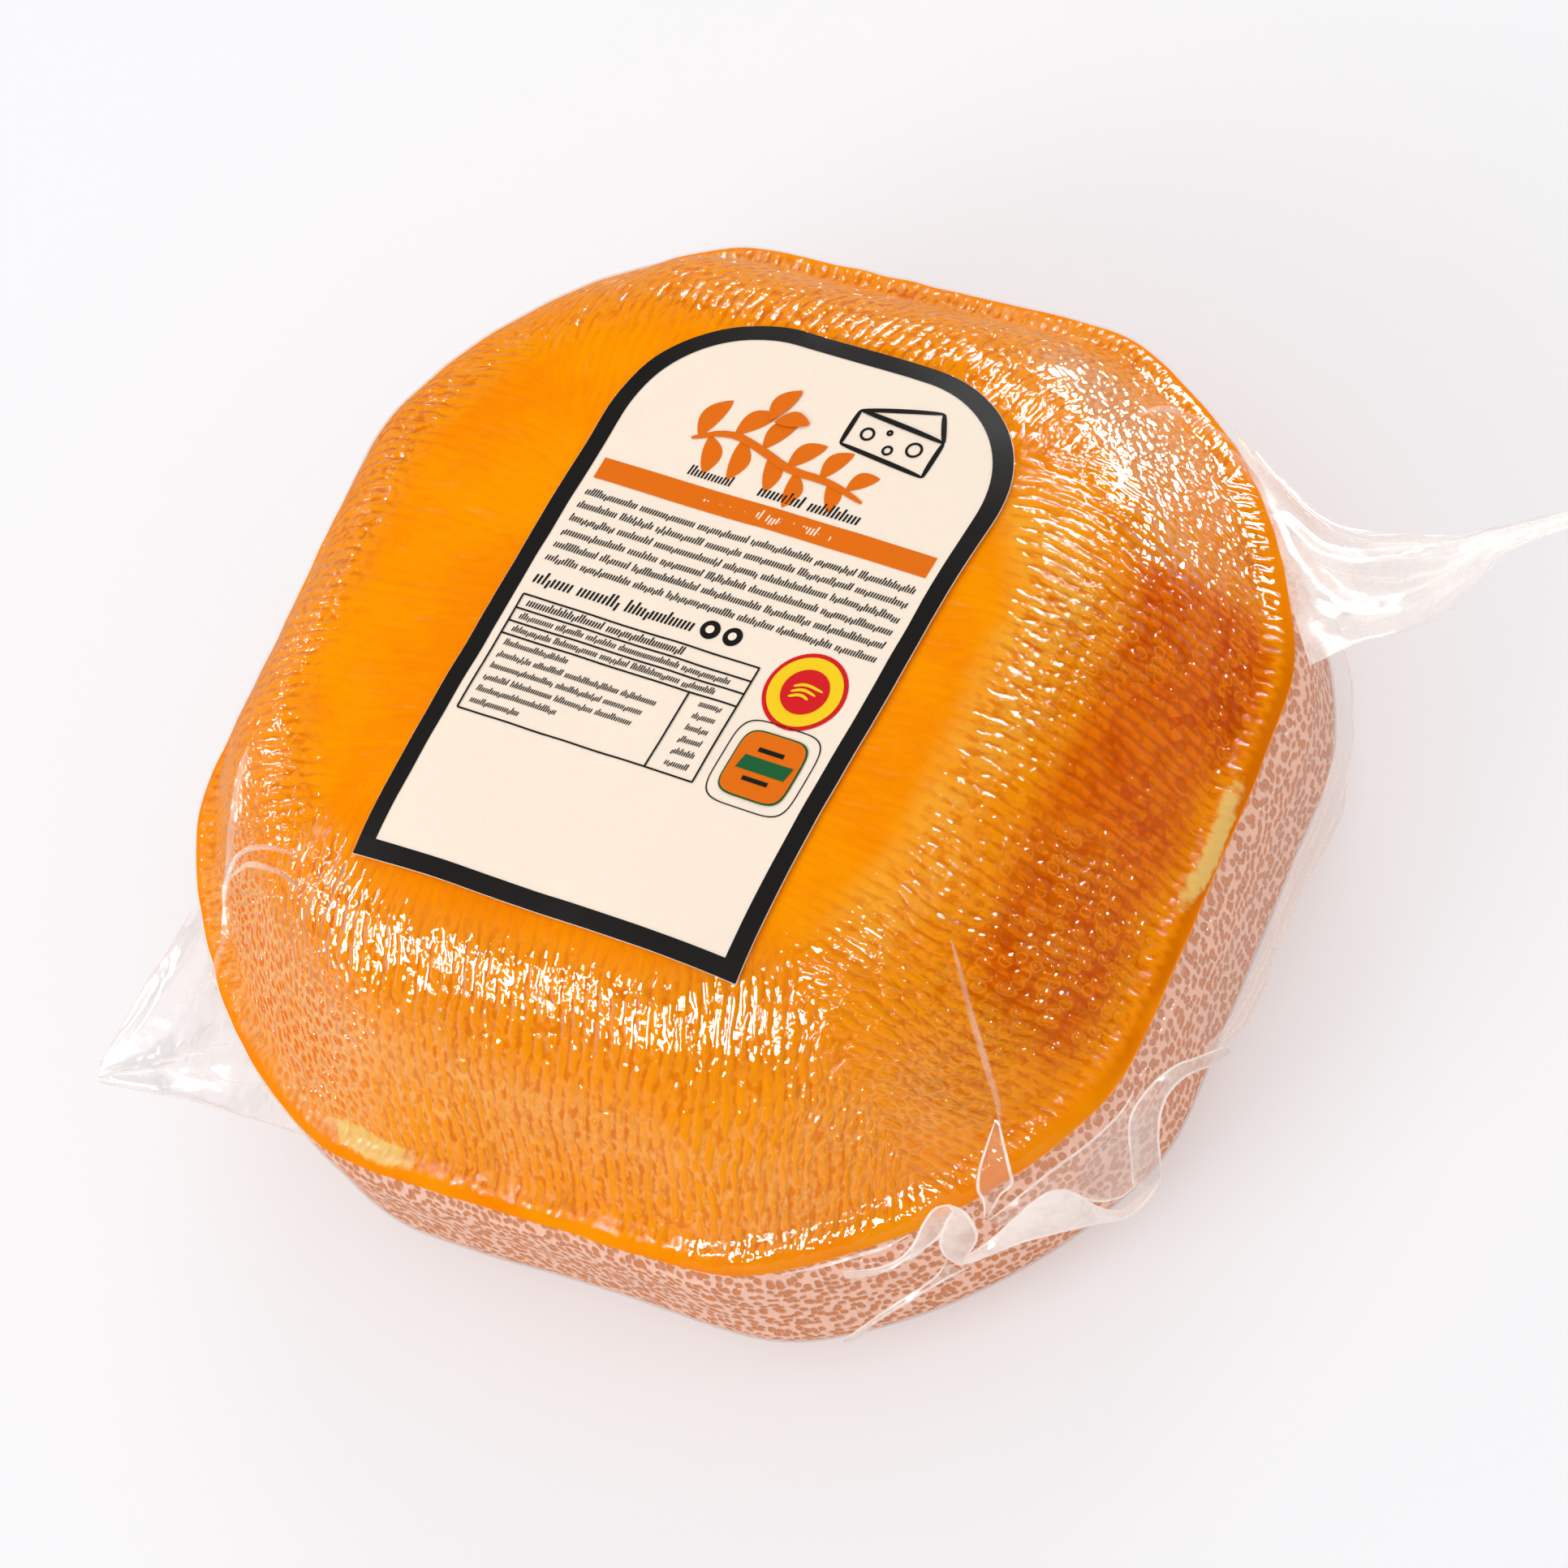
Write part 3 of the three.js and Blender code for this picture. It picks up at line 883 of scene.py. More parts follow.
ear = {
    "shift": 7,  # along the lip from the corner's middle
    "rootRun": 1.5,
    "base": 54,
    "tip": 4,
    "tipPlace": (-90.3, -88.0, 41.0),
    "waist": 0.8,
    "pleats": 2.2,
    "pleatDepth": 1.0,
    "roughness": 0.7,
    # lift, seed, inset, milk, edging and shine of each sheet
    "sheets": [(0.9, 3, 0, 0.06, 0.15, 0.14), (-0.9, 8, 1.5, 0.04, 0.12, 0.1)],
    "creaseLift": 1.1,
    # shares across the ear at its root and tip, size
    "creases": [(0, 0, 0.7), (0.275, 0.4, 0.6), (0.55, 0.65, 0.8), (0.75, 0.675, 0.6), (1, 1, 0.7)],
}


def earGrid(lift, seed, inset):
    rows, columns = 44, 60
    a, b = np.meshgrid(np.linspace(0, 1, rows), np.linspace(-1, 1, columns), indexing="ij")
    middle = -1.5 * sideRun + ear["shift"]
    spread = ear["base"] / 2 - inset
    above = filmLook["aboveRind"] + 0.05
    root, _ = onWheel(middle + b * spread, ear["rootRun"] + 0 * b, above)
    centre, _ = onWheel(np.array([middle]), np.array([ear["rootRun"]]), above)
    tip = np.array(ear["tipPlace"])
    flatOut = unit((tip - centre[0]) * np.array([1, 1, 0]))
    aside = np.array([-flatOut[1], flatOut[0], 0])
    tip = tip - flatOut * inset
    end = tip + aside * b[..., None] * ear["tip"] / 2
    grid = mix(root, end, (a ** 0.85)[..., None])
    waist = np.sin(a * math.pi)  # its sides draw in between root and tip
    grid = grid - aside * (b * np.abs(b) * waist)[..., None] * ear["waist"]
    pleat = np.sin(b * math.pi * ear["pleats"] + 0.8 * np.sin(a * 3 + seed)) * waist ** 0.7
    rough = ear["roughness"] * layeredNoise(grid, 9, seed) * waist
    grid[..., 2] += lift * waist + ear["pleatDepth"] * pleat * (0.5 + 0.5 * a) + rough
    return grid


def makeEar():
    bits = FilmBits()
    for lift, seed, inset, milk, edging, shine in ear["sheets"]:
        bits.sheet(earGrid(lift, seed, inset), milk, edging, shine)
    grid = earGrid(ear["creaseLift"], ear["sheets"][0][1], 0)
    for start, end, size in ear["creases"]:
        bits.pleat(grid, np.arange(len(grid)), (start, end), size * 0.7, 0.35)
    return bits.make("film_ear")


tail = {
    # its two edges from the wheel out to the gathered tip, as places in x, y and z
    "upperEdge": [(64, 79, 47.5), (74, 73, 46.5), (83, 68.5, 45), (90, 68, 43), (99, 70.5, 41),
                  (107, 73, 40), (112, 75.5, 40), (118, 78, 41), (127, 82.5, 42), (135, 87, 43)],
    "lowerEdge": [(93, 41, 45), (96.5, 46, 43), (99, 49.5, 41), (104, 54.5, 38), (108, 59.5, 37),
                  (111.5, 65.5, 37.5), (114.5, 71, 39), (119.5, 75, 40), (128, 80, 41.5),
                  (136, 85, 42.5)],
    "fullWidth": 26,  # its pleats are shallower where it is narrower than this
    "pleatDepth": 1.7,
    # lift, seed, pleats, milk, edging and shine of each sheet
    "sheets": [(1.5, 4, 2.1, 0.34, 0.4, 0.4), (-2.5, 9, 1.3, 0.26, 0.3, 0.3)],
    "creaseLift": 1.8,
    # rows from root to tip, shares across the tail, size
    "creases": [(0, 80, 0.05, 0.2, 1.0), (4, 90, 0.3, 0.45, 1.3), (8, 70, 0.55, 0.5, 0.9),
                (10, 95, 0.75, 0.55, 1.2), (0, 60, 0.96, 0.8, 1.0), (60, 109, 0.5, 0.5, 1.4)],
}


def tailGrid(lift, seed, pleats):
    rows, columns = 110, 46
    upper = smoothLine(tail["upperEdge"], rows)
    lower = smoothLine(tail["lowerEdge"], rows)
    b = np.linspace(0, 1, columns)[None, :, None]
    grid = mix(upper[:, None, :], lower[:, None, :], b)
    a = np.linspace(0, 1, rows)[:, None]
    b = b[..., 0]
    width = np.linalg.norm(upper - lower, axis=1)[:, None]
    inner = np.sin(b * math.pi) ** 0.5
    swell = ease(a, 0, 0.15) * np.clip(width / tail["fullWidth"], 0.18, 1)
    wave = np.sin(2 * math.pi * (pleats * b + 0.35 * np.sin(5 * a + seed)) + seed)
    grid[..., 2] += lift * inner * swell + tail["pleatDepth"] * wave * inner * swell
    rough = layeredNoise(grid, 10, seed)
    grid[..., 2] += 1.2 * rough * swell * inner
    grid[..., 0] += 0.8 * layeredNoise(grid, 12, seed + 5) * ease(a, 0.05, 0.3)
    return grid


def makeTail():
    bits = FilmBits()
    for lift, seed, pleats, milk, edging, shine in tail["sheets"]:
        bits.sheet(tailGrid(lift, seed, pleats), milk, edging, shine)
    seed, pleats = tail["sheets"][0][1:3]
    grid = tailGrid(tail["creaseLift"], seed, pleats)
    for start, end, first, last, size in tail["creases"]:
        bits.pleat(grid, np.arange(start, end), (first, last), size * 0.7, 0.5)
    return bits.make("film_tail")


skirt = {
    # distance along the lip from the middle of the right side, top height, free edge height, stand off
    "shape": [(62, 43, 32, 2), (55, 41, 24, 3), (48, 38, 18, 3.4), (41, 35, 16.5, 3.4),
              (33, 33, 15, 3.4), (22, 31, 12, 3.4), (8, 31, 13.5, 3.4), (-2, 31, 15, 3.4),
              (-9, 31, 15.5, 3), (-16, 30, 16, 2.2), (-22, 30, 20, 1.5)],
    "wave": 0.7,
    "sealMilk": 0.3,
    # shares of the way down at each end of a pressed line, then its milk
    "sealLines": [(0.5, 0.72, 0.5), (0.6, 0.8, 0.6), (0.84, 0.9, 0.6)],
    "sealColumns": (70, 212),
}


def skirtGrid(seed):
    columns, rows = 220, 26
    knots = smoothLine(skirt["shape"], columns)
    d = knots[:, 0][None, :]
    v = np.linspace(0, 1, rows)[:, None]
    height = mix(knots[:, 1][None, :], knots[:, 2][None, :], v)
    wave = skirt["wave"] * np.sin(d / 5.5 + v * 2 + seed) * v
    stand = 0.6 + knots[:, 3][None, :] * v ** 0.8 + wave
    points, normals = onWheel(d + 0 * v, height - lipZ, 0.0)
    flat = unit(normals * np.array([1, 1, 0]))
    points = points + flat * np.maximum(stand, 0.7)[..., None]
    points = points + flat * (0.5 * layeredNoise(points, 7, seed) * v)[..., None]
    seal = ease(v, 0.66, 0.8) * ease(-d, -40, -20)
    return points, flat, 0.01 + skirt["sealMilk"] * seal


def makeSkirt():
    bits = FilmBits()
    grid, flat, milk = skirtGrid(1.2)
    bits.sheet(grid, milk, 0.04, 0.1)
    for start, end, lineMilk in skirt["sealLines"]:
        at = np.arange(*skirt["sealColumns"])
        row = (np.linspace(start, end, len(at)) * (len(grid) - 1)).round().astype(int)
        line = smoothLine(grid[row, at][::6], 120)
        outward = smoothLine(flat[row, at][::6], 120)
        bits.crease(line + outward * 0.2, unit(outward), 0.7, 0.35, lineMilk)
    hem = smoothLine(grid[-1][::3], 240)
    hemOut = unit(smoothLine(flat[-1][::3], 240))
    bits.crease(hem, hemOut, 0.5, 0.25, 0.5)
    return bits.make("film_skirt")


# The seal crumples round the front right corner in ribbons. Each runs between two lines of
# distance along the lip, height and stand off.
ruffle = {
    "curlRise": {
        "upper": [(-96, 41.5, 0.8), (-91, 39.4, 0.9), (-86.7, 40, 1), (-83, 44, 1.4),
                  (-79.3, 50.7, 2), (-76.3, 54.9, 2.6), (-74, 55.1, 3.2)],
        "lower": [(-96, 40.6, 0.8), (-90.4, 38.4, 1.1), (-86, 39.9, 1.4), (-82, 42.5, 2),
                  (-78.4, 45.7, 2.6), (-75.7, 50.6, 3.2), (-74, 53.7, 3.8)],
        "milk": 0.3,
    },
    "curlFall": {
        "upper": [(-74, 55.1, 3.2), (-72.7, 51.7, 3.8), (-72.7, 46.4, 4), (-73.4, 41.4, 3.6),
                  (-75.4, 36.2, 2.4), (-77.3, 33.2, 1.6)],
        "lower": [(-74, 53.7, 3.8), (-75.2, 51.4, 3.4), (-77.2, 46.8, 2.4), (-79.2, 40.8, 1.4),
                  (-80, 35.6, 1), (-79.4, 31.6, 1.2)],
        "milk": 0.6,
    },
    "flap": {
        "upper": [(-77.3, 33.2, 1.6), (-73, 33.9, 1.6), (-67.9, 36.6, 2), (-63.3, 39.5, 2.8),
                  (-59.6, 41, 4), (-57, 38.3, 5), (-55.2, 29, 5), (-52.7, 22.2, 4.6),
                  (-49.3, 19.8, 4), (-46, 18.4, 3.4)],
        "lower": [(-79.4, 31.6, 1.2), (-74.4, 31.7, 2.4), (-68.2, 32.5, 4), (-62.7, 31, 5.4),
                  (-57, 27.4, 6.4), (-52.5, 22.3, 6.4), (-48.8, 20, 5.4), (-43.9, 19.5, 4)],
        "milk": 0.85,
    },
    "clearFold": {
        "upper": [(-71, 38.9, 0.8), (-63.6, 40.4, 0.8), (-56.7, 41, 0.8), (-49.3, 40.2, 0.8),
                  (-42.8, 40.9, 1.2), (-39.2, 42.9, 1.6)],
        "lower": [(-67.9, 35.7, 1.6), (-63.2, 37.3, 2), (-57.4, 34.3, 3.4), (-54.4, 27.8, 3.6),
                  (-51, 23, 3.2), (-47.8, 21.8, 3)],
        "milk": 0.14,
    },
    "turnedHem": {
        "upper": [(-18.4, 15.7, 1), (-22.3, 22, 1.4), (-26.4, 28.6, 2), (-30.5, 35.4, 2.6),
                  (-35.9, 41, 3), (-40.4, 41.9, 3), (-43.3, 38.8, 3), (-46, 30, 3),
                  (-48.3, 21.9, 3)],
        "lower": [(-19.4, 14.7, 1.4), (-23.9, 20.7, 2), (-27.9, 27.7, 3), (-31.9, 33.8, 3.8),
                  (-35.9, 37.3, 4.4), (-38.7, 36, 4.6), (-40.9, 31.4, 4.6), (-42.5, 25.3, 4.4),
                  (-43.9, 19.5, 4)],
        "milk": 0.25,
    },
    "pinch": {
        "upper": [(-60.3, 66.2, 0.8), (-63.6, 61.4, 0.9), (-66.9, 56, 1), (-69, 50.9, 1.2),
                  (-69.4, 46.6, 1.4), (-70.9, 41.2, 1.2)],
        "lower": [(-59.9, 65.6, 0.8), (-61.2, 60.8, 1.6), (-63, 52.8, 2.4), (-64, 48.4, 2.4),
                  (-66.7, 46.6, 2), (-70.6, 40.8, 1.2)],
        "milk": 0.02,
    },
    "cornerFold": {
        "upper": [(-103.8, 16, 0.8), (-96.3, 21.5, 0.8), (-91, 25, 0.9), (-84, 28.9, 1),
                  (-80.6, 32.7, 1.1)],
        "lower": [(-104, 15.3, 0.8), (-96.7, 20.4, 0.9), (-88.7, 25.3, 1.2), (-82, 28.5, 1.6),
                  (-77.7, 29.9, 2)],
        "milk": 0.14,
    },
}


def offWall(rows):  # places beside the wall, from distance along the lip, height and stand off
    inner, normals = onWheel(rows[..., 0], -12.0 + 0 * rows[..., 0])
    flat = unit(normals * np.array([1, 1, 0]))
    places = inner + flat * rows[..., 2][..., None]
    places[..., 2] = rows[..., 1]
    return places, flat


def makeRuffle():
    bits = FilmBits()
    steps = 90
    across = np.linspace(0, 1, 9)[:, None, None]
    belly = np.sin(across[..., 0] * math.pi)
    ripple = np.sin(np.linspace(0, 16, steps))[None, :]
    for ribbon in ruffle.values():
        upper = smoothLine(ribbon["upper"], steps)
        lower = smoothLine(ribbon["lower"], steps)
        milk = ribbon["milk"]
        grid, flat = offWall(mix(upper[None], lower[None], across))
        grid = grid + flat * (0.8 * belly + 0.35 * layeredNoise(grid, 6, 7) * belly)[..., None]
        grid = grid + flat * (0.25 * belly * ripple)[..., None]
        bits.sheet(grid, milk, 0.15, 0.12 + 0.5 * milk, 0.18)
        for row in (0, -1):
            bits.crease(grid[row], flat[row], 0.5, 0.3, 0.7)
    return bits.make("film_ruffle")


# Creases where the tight film gathers: distance along the lip and run above it
creases = [
    {"line": [(-46, 40), (-50, 33), (-53, 27), (-56, 19), (-58, 13), (-61, 7)],
     "width": 1.1, "height": 0.8},
    {"line": [(91, 21), (95, 12), (95, 6), (90, 4), (84, 1)], "width": 1.3, "height": 0.9},
    {"line": [(84, 3), (79, 2), (73, 0)], "width": 1.6, "height": 1.1},
    {"line": [(-262, 40), (-257, 36), (-250, 31), (-245, 22), (-246, 8)], "width": 1.4, "height": 1.0},
    {"line": [(-219, 44), (-228, 41), (-238, 33), (-244, 22)], "width": 1.0, "height": 0.7},
    {"line": [(-226, 47), (-236, 40), (-243, 30), (-246, 14)], "width": 0.9, "height": 0.6},
    {"line": [(-246, 10), (-240, 5), (-234, 1)], "width": 1.2, "height": 0.9},
    {"line": [(-106, -3), (-96, -3), (-88, -3.5), (-83, -1)], "width": 0.7, "height": 0.5, "milk": 0.5},
]


def makeCreases():
    bits = FilmBits()
    for crease in creases:
        line = smoothLine(crease["line"], 60)
        points, normals = onWheel(line[:, 0], line[:, 1], 0.35)
        bits.crease(points, normals, crease["width"], crease["height"], crease.get("milk", 0.12))
    return bits.make("film_creases")


for make in (makeEar, makeTail, makeSkirt, makeRuffle, makeCreases):
    make()
print("loose film made")


# Label

labelShape = {
    "width": 75,
    "height": 113.5,
    "corner": 24.5,
    "shift": (8, 3.4),
    "turn": -2.4,  # degrees
    "skew": 4,  # degrees
    "aboveFilm": 0.35,
    "thickness": 0.18,
    "border": 3.3,
    "printStep": 0.09,  # each layer of print stands this far above the last
    "printThickness": 0.03,
    "fibres": 0.08,
    "lean": 0.15,  # slant of the ticks that stand for print
}
labelInk = {
    "paper": colour(250, 233, 215),
    "black": colour(26, 24, 22),
    "orange": colour(228, 110, 8),
    "red": colour(214, 28, 34),
    "yellow": colour(248, 206, 30),
    "green": colour(24, 96, 52),
}


def paperMaterial(name, tone):
    pad = NodePad(name)
    places = pad.places()
    fibre = pad.noise(places, 700, 3, 0.6)
    darker = tuple(value * 0.8 for value in tone[:3]) + (1,)
    mottled = pad.tint(pad.smooth(fibre, 0.3, 0.75, 0.0, labelShape["fibres"]), tone, darker)
    paper = pad.node("BsdfPrincipled", {
        "Base Color": mottled, "Roughness": 0.55, "Specular IOR Level": 0.03,
        "Normal": pad.relief(fibre, 0.03, 0.6),
    })
    pad.put(pad.finish.inputs[0], paper.outputs[0])
    return pad.material


labelMaterials = [paperMaterial("label_" + name, tone) for name, tone in labelInk.items()]
inkNumber = {name: i for i, name in enumerate(labelInk)}


def onLabel(x, y, layer):  # label millimetres from its middle, to a place over the dome
    lean = math.tan(math.radians(labelShape["skew"]))
    turn = math.radians(labelShape["turn"])
    x = x + lean * y
    px = x * math.cos(turn) - y * math.sin(turn) + labelShape["shift"][0]
    py = x * math.sin(turn) + y * math.cos(turn) + labelShape["shift"][1]
    return overDome(px, py, labelShape["aboveFilm"] + layer)


def archHalf(y, inset):  # half width of the arched label at this height, less a border
    half = labelShape["width"] / 2 - inset
    top = labelShape["height"] / 2 - inset
    corner = labelShape["corner"] - inset
    over = np.clip(y - (top - corner), 0, corner)
    return half - corner + np.sqrt(np.maximum(corner ** 2 - over ** 2, 0))


def archGrid(inset, columns, rows):
    top = labelShape["height"] / 2 - inset
    corner = labelShape["corner"] - inset
    straight = np.linspace(-top, top - corner, rows)
    bend = top - corner + corner * np.sin(np.linspace(0, math.pi / 2, 24)[1:])
    ys = np.concatenate([straight, bend])
    xs = np.linspace(-1, 1, columns)
    y = ys[:, None] + 0 * xs
    x = archHalf(ys, inset)[:, None] * xs
    return x, y


class PrintSheet(Skins):  # thin pieces of print over the label, each with its ink
    def add(self, x, y, ink, layer):
        grid = onLabel(x, y, layer * labelShape["printStep"] + labelShape["thickness"] / 2)
        count = self.gather(grid, labelShape["printThickness"])
        self.shares += [inkNumber[ink]] * count

    def bar(self, left, low, right, high, ink, layer, lean=0.0):
        cell = 2.5
        xs = np.linspace(left, right, int((right - left) / cell) + 2)
        ys = np.linspace(low, high, int((high - low) / cell) + 2)
        y, x = np.meshgrid(ys, xs, indexing="ij")
        self.add(x + lean * (y - low), y, ink, layer)

    def disc(self, cx, cy, radius, ink, layer, inner=0.0):
        turn = np.linspace(0, 2 * math.pi, 41)
        angle, reach = np.meshgrid(turn, np.linspace(max(inner, 0.01), radius, 5))
        self.add(cx + reach * np.cos(angle), cy + reach * np.sin(angle), ink, layer)

    def roundedBox(self, cx, cy, half, ink, layer, inner=0.0):
        angle = np.linspace(0, 2 * math.pi, 65)
        rim = np.stack([np.cos(angle), np.sin(angle)], -1)
        rim = np.sign(rim) * np.abs(rim) ** 0.42
        reach = np.linspace(max(inner, 0.01), half, 5)[:, None]
        self.add(cx + reach * rim[:, 0], cy + reach * rim[:, 1], ink, layer)

    def stroke(self, line, width, ink, layer):  # a brush stroke through points, thin at its ends
        line = np.asarray(line, float)
        for _ in range(2):
            cut = np.empty((2 * len(line) - 2, 2))
            cut[0::2] = line[:-1] * 0.75 + line[1:] * 0.25
            cut[1::2] = line[:-1] * 0.25 + line[1:] * 0.75
            line = np.concatenate([line[:1], cut, line[-1:]])
        share = np.linspace(0, 1, len(line))
        tangent = unit(np.gradient(line, axis=0))
        aside = np.stack([-tangent[:, 1], tangent[:, 0]], -1)
        half = (width / 2 * np.sqrt(np.clip(4 * share * (1 - share), 0.08, 1)))[:, None]
        edges = np.stack([line - aside * half, line, line + aside * half])
        self.add(edges[..., 0], edges[..., 1], ink, layer)


def labelPlace(u, v):  # shares of the label's width and height, to millimetres from its middle
    return (u - 0.5) * labelShape["width"], (v - 0.5) * labelShape["height"]


def borderPrint(prints):  # the black band round the edge, square below and arched above
    outer = 0.1
    inset = labelShape["border"]
    top = labelShape["height"] / 2
    half = labelShape["width"] / 2
    corner = labelShape["corner"]
    prints.bar(-half + outer, -top + outer, half - outer, -top + inset, "black", 1)
    for sign in (-1, 1):
        edge = np.linspace(-top + inset, top - corner, 40)
        x = np.stack([np.full(40, sign * (half - outer)), np.full(40, sign * (half - inset))])
        prints.add(x if sign < 0 else x[::-1], np.stack([edge, edge]), "black", 1)
    angle = np.linspace(0, math.pi / 2, 24)
    reach = np.array([corner - outer, corner - inset])[:, None]
    arcX = half - corner + np.cos(angle) * reach
    arcY = top - corner + np.sin(angle) * reach
    prints.add(arcX, arcY, "black", 1)
    prints.add(-arcX[::-1], arcY[::-1], "black", 1)
    prints.bar(-(half - corner), top - inset, half - corner, top - outer, "black", 1)


def wordTicks(prints, u, v, uEnd, height, words, ink, seed):  # a line of print shown as plain ticks
    x, y = labelPlace(u, v)
    end, _ = labelPlace(uEnd, v)
    picks = [latticeValue(np.array([i, words, seed]), seed) for i in range(words)]
    shares = 2.5 + 4 * np.abs(picks)
    step = height * 0.42
    gap = height * 0.55
    lengths = shares / shares.sum() * (end - x - gap * (words - 1))
    for word, length in enumerate(lengths):
        ticks = max(1, int(length / step))
        for i in range(ticks):
            pick = latticeValue(np.array([i, word, seed]), seed + 7)
            tall = height * (1.25 if pick > 0.55 else 0.85)
            low = y - height / 2 - (height * 0.25 if pick < -0.8 else 0)
            left = x + (i + 0.5) * length / ticks - step * 0.26
            prints.bar(left, low, left + step * 0.52, low + tall, ink, 1, labelShape["lean"])
        x += length + gap


def printLabel():
    prints = PrintSheet()
    borderPrint(prints)
    left, low = labelPlace(0.065, 0.667)
    right, high = labelPlace(0.935, 0.703)
    prints.bar(left, low, right, high, "orange", 1)
    wordTicks(prints, 0.34, 0.685, 0.70, 1.5, 5, "paper", 3)
    for row, words in enumerate([6, 7, 6, 6, 6, 7]):
        wordTicks(prints, 0.067, 0.642 - row * 0.0237, 0.93, 1.15, words, "black", 11 + row)
    wordTicks(prints, 0.067, 0.487, 0.49, 1.9, 3, "black", 31)
    for u in (0.53, 0.588):
        x, y = labelPlace(u, 0.491)
        prints.disc(x, y, 1.75, "black", 1)
        prints.disc(x, y, 0.75, "paper", 3)
    tableLines(prints)
    seals(prints)
    titleMarks(prints)
    wedgePicture(prints)
    return prints


def tableLines(prints):
    line = 0.32
    left, low = labelPlace(0.067, 0.257)
    right, high = labelPlace(0.688, 0.457)
    for v in (0.257, 0.389, 0.411, 0.433, 0.457):
        _, y = labelPlace(0, v)
        prints.bar(left, y - line / 2, right, y + line / 2, "black", 1)
    prints.bar(left - line / 2, low, left + line / 2, high, "black", 2)
    prints.bar(right - line / 2, low, right + line / 2, high, "black", 2)
    divider, top = labelPlace(0.564, 0.389)
    prints.bar(divider - line / 2, low, divider + line / 2, top, "black", 2)
    wordTicks(prints, 0.085, 0.445, 0.5, 1.25, 2, "black", 41)
    wordTicks(prints, 0.085, 0.422, 0.64, 1.0, 5, "black", 42)
    wordTicks(prints, 0.085, 0.400, 0.62, 1.0, 5, "black", 43)
    rows = [(0.17, 1), (0.42, 4), (0.40, 3), (0.39, 4), (0.21, 1), (0.13, 1)]
    for row, (long, words) in enumerate(rows):
        v = 0.376 - row * 0.0203
        wordTicks(prints, 0.085, v, 0.085 + long, 0.95, words, "black", 51 + row)
        wordTicks(prints, 0.60, v, 0.66, 0.95, 1, "black", 61 + row)


def seals(prints):
    x, y = labelPlace(0.817, 0.443)
    prints.disc(x, y, 7.3, "red", 1)
    prints.disc(x, y, 6.5, "yellow", 2)
    prints.disc(x, y, 4.2, "red", 3)
    for i in range(3):
        wave = [(x - 2.4, y - 1.6 + i), (x - 0.5, y - 0.6 + i), (x + 1.2 + i * 0.9, y - 1.2 + i)]
        prints.stroke(wave, 0.55, "yellow", 4)
    x, y = labelPlace(0.823, 0.312)
    prints.roundedBox(x, y, 8.1, "black", 1, 7.9)
    prints.roundedBox(x, y, 6.3, "green", 2)
    prints.roundedBox(x, y, 6.0, "orange", 3)
    prints.bar(x - 4.6, y - 1.3, x + 4.6, y + 1.3, "green", 4, 0.2)
    prints.bar(x - 2.4, y + 2.4, x + 2.4, y + 3.2, "black", 4)
    prints.bar(x - 2.4, y - 3.2, x + 2.4, y - 2.4, "black", 4)


def leaf(prints, x, y, long, wide, angle, layer=1):  # one plain leaf of the title's ornament
    along = np.linspace(0, 1, 15)
    half = wide / 2 * np.sin(along * math.pi) ** 0.8
    bend = 0.12 * long * np.sin(along * math.pi)
    cos, sin = math.cos(math.radians(angle)), math.sin(math.radians(angle))
    a = along * long
    b = np.stack([bend + share * half for share in (-1, 0, 1)])
    prints.add(x + a * cos - b * sin, y + a * sin + b * cos, "orange", layer)


def titleMarks(prints):  # a sprig of plain leaves stands for the title
    x, y = labelPlace(0.235, 0.755)
    stem = [(0, 2), (6, 5), (13, 3.6), (20, 1.2), (27, 1.6), (35, -0.6)]
    prints.stroke([(x + a, y + b) for a, b in stem], 1.5, "orange", 2)
    leaves = [  # place along and above the stem's start, length, width and angle
        (1, 2.6, 8.5, 4.0, 75), (3, 3.4, 7.5, 3.6, -70), (7, 4.8, 8.0, 3.8, 48),
        (9, 4.4, 8.0, 3.6, -82), (13, 3.8, 8.0, 3.8, 62), (15, 3.2, 7.5, 3.4, -68),
        (19, 1.8, 7.5, 3.6, 50), (21, 1.4, 7.0, 3.2, -80), (25.5, 1.6, 7.0, 3.4, 60),
        (27.5, 1.4, 6.0, 3.0, -62), (31, 0.8, 6.0, 3.0, 40),
    ]
    for a, b, long, wide, angle in leaves:
        leaf(prints, x + a, y + b, long, wide, angle)
    x, y = labelPlace(0.385, 0.835)
    leaf(prints, x, y, 7.5, 3.6, 70, 3)
    leaf(prints, x + 1, y, 6.5, 3.0, 12, 4)
    wordTicks(prints, 0.27, 0.722, 0.385, 1.5, 1, "black", 71)
    wordTicks(prints, 0.455, 0.722, 0.72, 1.8, 2, "black", 72)


def wedgePicture(prints):  # a plain drawing of a wedge of cheese
    x, y = labelPlace(0.575, 0.845)
    top = [(0, 5.5), (13.5, 9.5), (16.5, 4.2)]
    front = [(0, 5.5), (0, -1.5), (16.5, -3), (16.5, 4.2)]
    for outline in (top + top[:1], front):
        for (ax, ay), (bx, by) in zip(outline, outline[1:]):
            middle = (x + (ax + bx) / 2, y + (ay + by) / 2)
            prints.stroke([(x + ax, y + ay), middle, (x + bx, y + by)], 0.9, "black", 1)
    prints.stroke([(x, y + 5.5), (x + 8, y + 4.9), (x + 16.5, y + 4.2)], 0.9, "black", 2)
    for cx, cy, radius in [(3.5, 1.6, 1.3), (8.3, -0.2, 1.0), (12.6, 1.3, 1.5), (7, 3.0, 0.6)]:
        prints.disc(x + cx, y + cy, radius, "black", 1, radius - 0.45)


